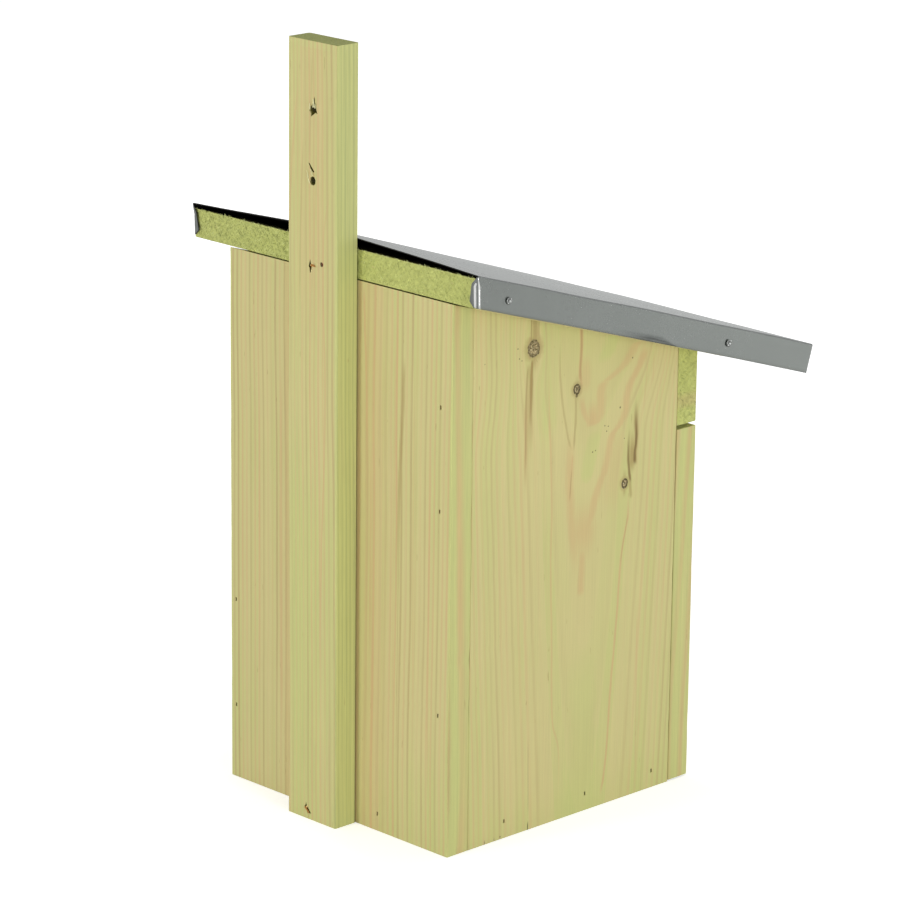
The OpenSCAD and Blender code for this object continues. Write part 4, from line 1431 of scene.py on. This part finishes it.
def islands(bm):
    """The separate parts of a bmesh, as lists of vertices, always in the same order."""
    seen, found = set(), []
    for first in bm.verts:
        if first in seen:
            continue
        part, queue = [], [first]
        seen.add(first)
        while queue:
            vert = queue.pop()
            part.append(vert)
            for edge in vert.link_edges:
                other = edge.other_vert(vert)
                if other not in seen:
                    seen.add(other)
                    queue.append(other)
        found.append(part)
    return found


def fasteners(node):
    """A matrix for each nail or screw of a node: at the top of its head, with Z outwards."""
    bm = merged_copy(node)
    places = []
    for part in islands(bm):
        spots = [vert.co.copy() for vert in part]
        centre = sum(spots, Vector()) / len(spots)
        far = max(spots, key=lambda spot: (spot - centre).length)
        near = max(spots, key=lambda spot: (spot - far).length)
        axis = (far - near).normalized()
        for _ in range(3):
            levels = [(spot, (spot - near).dot(axis) / (far - near).dot(axis)) for spot in spots]
            tops = [spot for spot, level in levels if level > 0.9]
            feet = [spot for spot, level in levels if level < 0.1]
            axis = (middle(tops) - middle(feet)).normalized()
        wide = max((spot - middle(tops)).length for spot in tops)
        narrow = max((spot - middle(feet)).length for spot in feet)
        if wide < narrow:
            axis, tops = -axis, feet
        head = middle(tops)
        head += axis * (max(spot.dot(axis) for spot in spots) - head.dot(axis))
        places.append(pointing(head, axis))
    bm.free()
    return places


def middle(spots):
    """The middle of the box round some points."""
    return Vector([(min(values) + max(values)) / 2 for values in zip(*spots)])


# A domed nail as (radius, height) in millimetres, from its tip to the dimple in its head
NAIL_PROFILE = ((0, -20.5), (0.4, -19.5), (1, -17.5), (1, -0.8), (2.1, -0.8), (2.5, -0.65),
                (2.6, -0.35), (2.3, -0.02), (1.9, 0.05), (1.6, -0.1), (1.1, -0.6), (0, -0.8))


class BIRDHOUSE_OT_sheet_nails(BirdHouseOperator):
    """Drives domed nails with a dimple through the flanges of the roof sheet"""

    bl_idname = "birdhouse.sheet_nails"
    bl_label = "Sheet nails"

    def execute(self, context):
        look = self.settings.fittings
        bm = bmesh.new()
        for place in fasteners("roof_sheet_nails"):
            turned(bm, NAIL_PROFILE, place)
        bmesh.ops.remove_doubles(bm, verts=bm.verts, dist=0.005 * MM)
        bmesh.ops.recalc_face_normals(bm, faces=bm.faces)
        for face in bm.faces:
            face.smooth = True
        steel = steel_material("nail_steel", look.nail, look.rust, 0.15, 0.42)
        piece = finished("roof_sheet_domed_nails", bm, "box", steel, slot="bright_steel")
        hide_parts("roof_sheet_nails")
        return {"FINISHED"}


def zinc_material(name, tone):
    """Galvanised sheet: soft bands along the roof, faint crystals, and a dark streak along one side
    flange.
    """
    material, w = new_material(name)
    place = w.place()
    crystals = w.out("TexVoronoi", {"Vector": w.stretch(place, (90, 90, 90))}, output="Color")
    grain = w.split(crystals)[0] - 0.5
    bands = w.noise(place, (3, 9, 9), 3.0)
    rubs = w.noise(place, (30, 260, 260), 3.0)
    smear = w.step(w.noise(place, (8, 14, 60), 2.0, (3, 1, 8)), 0.16, 0.34)
    x, y, z = w.split(place)
    slope = UP_SLOPE[2] / UP_SLOPE[1]
    above = z - ROOF.translation.z - (y - ROOF.translation.y) * slope
    strokes = w.noise(w.join(0, y * 28, above * 700), (1, 1, 1), 3.0)
    # The dark streak's front and rear end, and its height over the roof boards, in metres
    front, rear = -0.037, 0.034
    height = w.step(y, front, front + 0.019) * 0.0062 + 0.0004
    dark_streak = (1 - w.step(above - 0.0006, height * 0.2, height)) * w.step(-x, 0.13, 0.14)
    dark_streak = dark_streak * w.step(y, front, front + 0.003) * (1 - w.step(y, rear - 0.049, rear))
    dark_streak = w.maths("MINIMUM", dark_streak * (0.75 + strokes * 2.2), 0.8)
    tint = w.shade(tone, 1.09 + bands * 0.24 + grain * 0.02 + rubs * 0.03 - smear * 0.2
                   - dark_streak * 0.8 - w.step(y, -0.02, 0.16) * 0.15 + w.step(-y, 0, 0.16) * 0.07)
    rough = 0.27 + bands * 0.12 + rubs * 0.03 + grain * 0.02
    dents = w.noise(place, (22, 22, 22), 2.0)
    w.surface(tint, rough, {"Metallic": 1.0, "Specular Tint": (0.90, 0.90, 0.91)},
              dents * 0.4 + rubs * 0.01)
    return material


def underside_shade_material(name, tone):
    """The dull near-black coat on the underside of the sheet: painted shade in the gap under the
    sheet and along its cut edges.
    """
    material, w = new_material(name)
    dust = w.noise(w.place(), (160, 160, 160), 3.0)
    w.surface(w.shade(tone, 1 + dust * 0.9), 0.8 + dust * 0.2, MATT, dust * 0.1)
    return material


def steel_material(name, tone, rust, rusted, roughness):
    """Steel or plated steel with tool marks and a little rust in patches."""
    material, w = new_material(name)
    place = w.place()
    cloud = w.noise(place, (240, 240, 240), 3.0)
    marks = w.noise(place, (900, 900, 2500), 2.0)
    rusty = w.step(cloud + marks * 0.4, 0.42 - rusted, 0.6 - rusted)
    tint = w.blend(rusty, w.shade(tone, 1 + cloud * 0.25 + marks * 0.12), rust)
    rough = roughness + cloud * 0.2 + rusty * 0.4
    w.surface(tint, rough, {"Metallic": 1 - rusty * 0.9}, marks * 0.02 + rusty * 0.05)
    return material


def eased_copy(node, easing, material, slot, recess=0):
    """A copy of a metal node with rounded edges and, for screws, a cross in each head."""
    bm = merged_copy(node)
    ease_edges(bm, 50, 0.3 * MM, easing)
    piece = finished(node + "_metal", bm, body_of(node), material, slot=slot)
    # The two bars of the crosses are cut one after the other
    for turn in (20, 110) if recess else ():
        bars = bmesh.new()
        for place in fasteners(node):
            bar = Matrix.Diagonal((recess, recess * 0.24, recess * 0.9, 1))
            spin = Matrix.Rotation(math.radians(turn), 4, "Z")
            bmesh.ops.create_cube(bars, size=1, matrix=place @ spin @ bar)
        carve(piece, bars, material)
    for face in piece.data.polygons:
        face.use_smooth = False
    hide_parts(node)
    return piece


class BIRDHOUSE_OT_fittings(BirdHouseOperator):
    """Rounds the hinges, screws and turn button and gives all small parts their metal"""

    bl_idname = "birdhouse.fittings"
    bl_label = "Fittings"

    def execute(self, context):
        look = self.settings.fittings
        steel = steel_material("brad_steel", look.steel, look.rust, 0.5, 0.5)
        yellow = steel_material("yellow_zinc", look.yellow, look.rust, 0.1, 0.35)
        plate = steel_material("zinc_plate", look.plate, look.rust, 0.02, 0.3)
        hinges = [height + "_hinge_" + part for height in ("upper", "lower")
                  for part in ("fixed_leaf", "door_leaf", "pin")]
        for node in (*hinges, "turn_button", "turn_button_washer"):
            eased_copy(node, look.easing, plate, slot="zinc_plate")
        for node in ("hinge_fixed_screws", "hinge_door_screws", "turn_button_screw"):
            eased_copy(node, look.easing / 2, plate, slot="zinc_plate", recess=look.recess)
        eased_copy("batten_screws", look.easing, yellow, slot="yellow_zinc",
                   recess=look.recess * 1.6)
        for node in ("back_panel_brads", "floor_brads", "front_board_brads", "roof_board_nails",
                     "batten_roof_nail"):
            metal = NODES[node].data.materials
            metal.clear()
            metal.append(steel)
        return {"FINISHED"}


class BirdHouseSettings(bpy.types.PropertyGroup):
    """All settings of the bird house"""

    pine: PointerProperty(type=PineSettings)
    sheet: PointerProperty(type=SheetSettings)
    fittings: PointerProperty(type=FittingSettings)
    studio: PointerProperty(type=StudioSettings)


STEPS = (BIRDHOUSE_OT_stage, BIRDHOUSE_OT_pine, BIRDHOUSE_OT_box, BIRDHOUSE_OT_front,
         BIRDHOUSE_OT_roof, BIRDHOUSE_OT_batten, BIRDHOUSE_OT_roof_sheet,
         BIRDHOUSE_OT_sheet_nails, BIRDHOUSE_OT_fittings)


class BIRDHOUSE_PT_steps(bpy.types.Panel):
    """The steps that dress the bird house, in order"""

    bl_idname = "BIRDHOUSE_PT_steps"
    bl_label = "Bird House"
    bl_space_type = "VIEW_3D"
    bl_region_type = "UI"
    bl_category = "Bird House"

    def draw(self, context):
        for step in STEPS:
            self.layout.operator(step.bl_idname)


CLASSES = (PineSettings, SheetSettings, FittingSettings, StudioSettings, BirdHouseSettings,
           *STEPS, BIRDHOUSE_PT_steps)


def register():
    """Adds the classes and the settings."""
    for item in CLASSES:
        bpy.utils.register_class(item)
    bpy.types.Scene.bird_house = PointerProperty(type=BirdHouseSettings)


def unregister():
    """Takes the settings and the classes away again."""
    del bpy.types.Scene.bird_house
    for item in reversed(CLASSES):
        bpy.utils.unregister_class(item)


def main():
    """Builds everything in order."""
    register()
    bpy.ops.birdhouse.stage()
    bpy.ops.birdhouse.pine()
    bpy.ops.birdhouse.box()
    bpy.ops.birdhouse.front()
    bpy.ops.birdhouse.roof()
    bpy.ops.birdhouse.batten()
    bpy.ops.birdhouse.roof_sheet()
    bpy.ops.birdhouse.sheet_nails()
    bpy.ops.birdhouse.fittings()


if __name__ == "__main__":
    main()
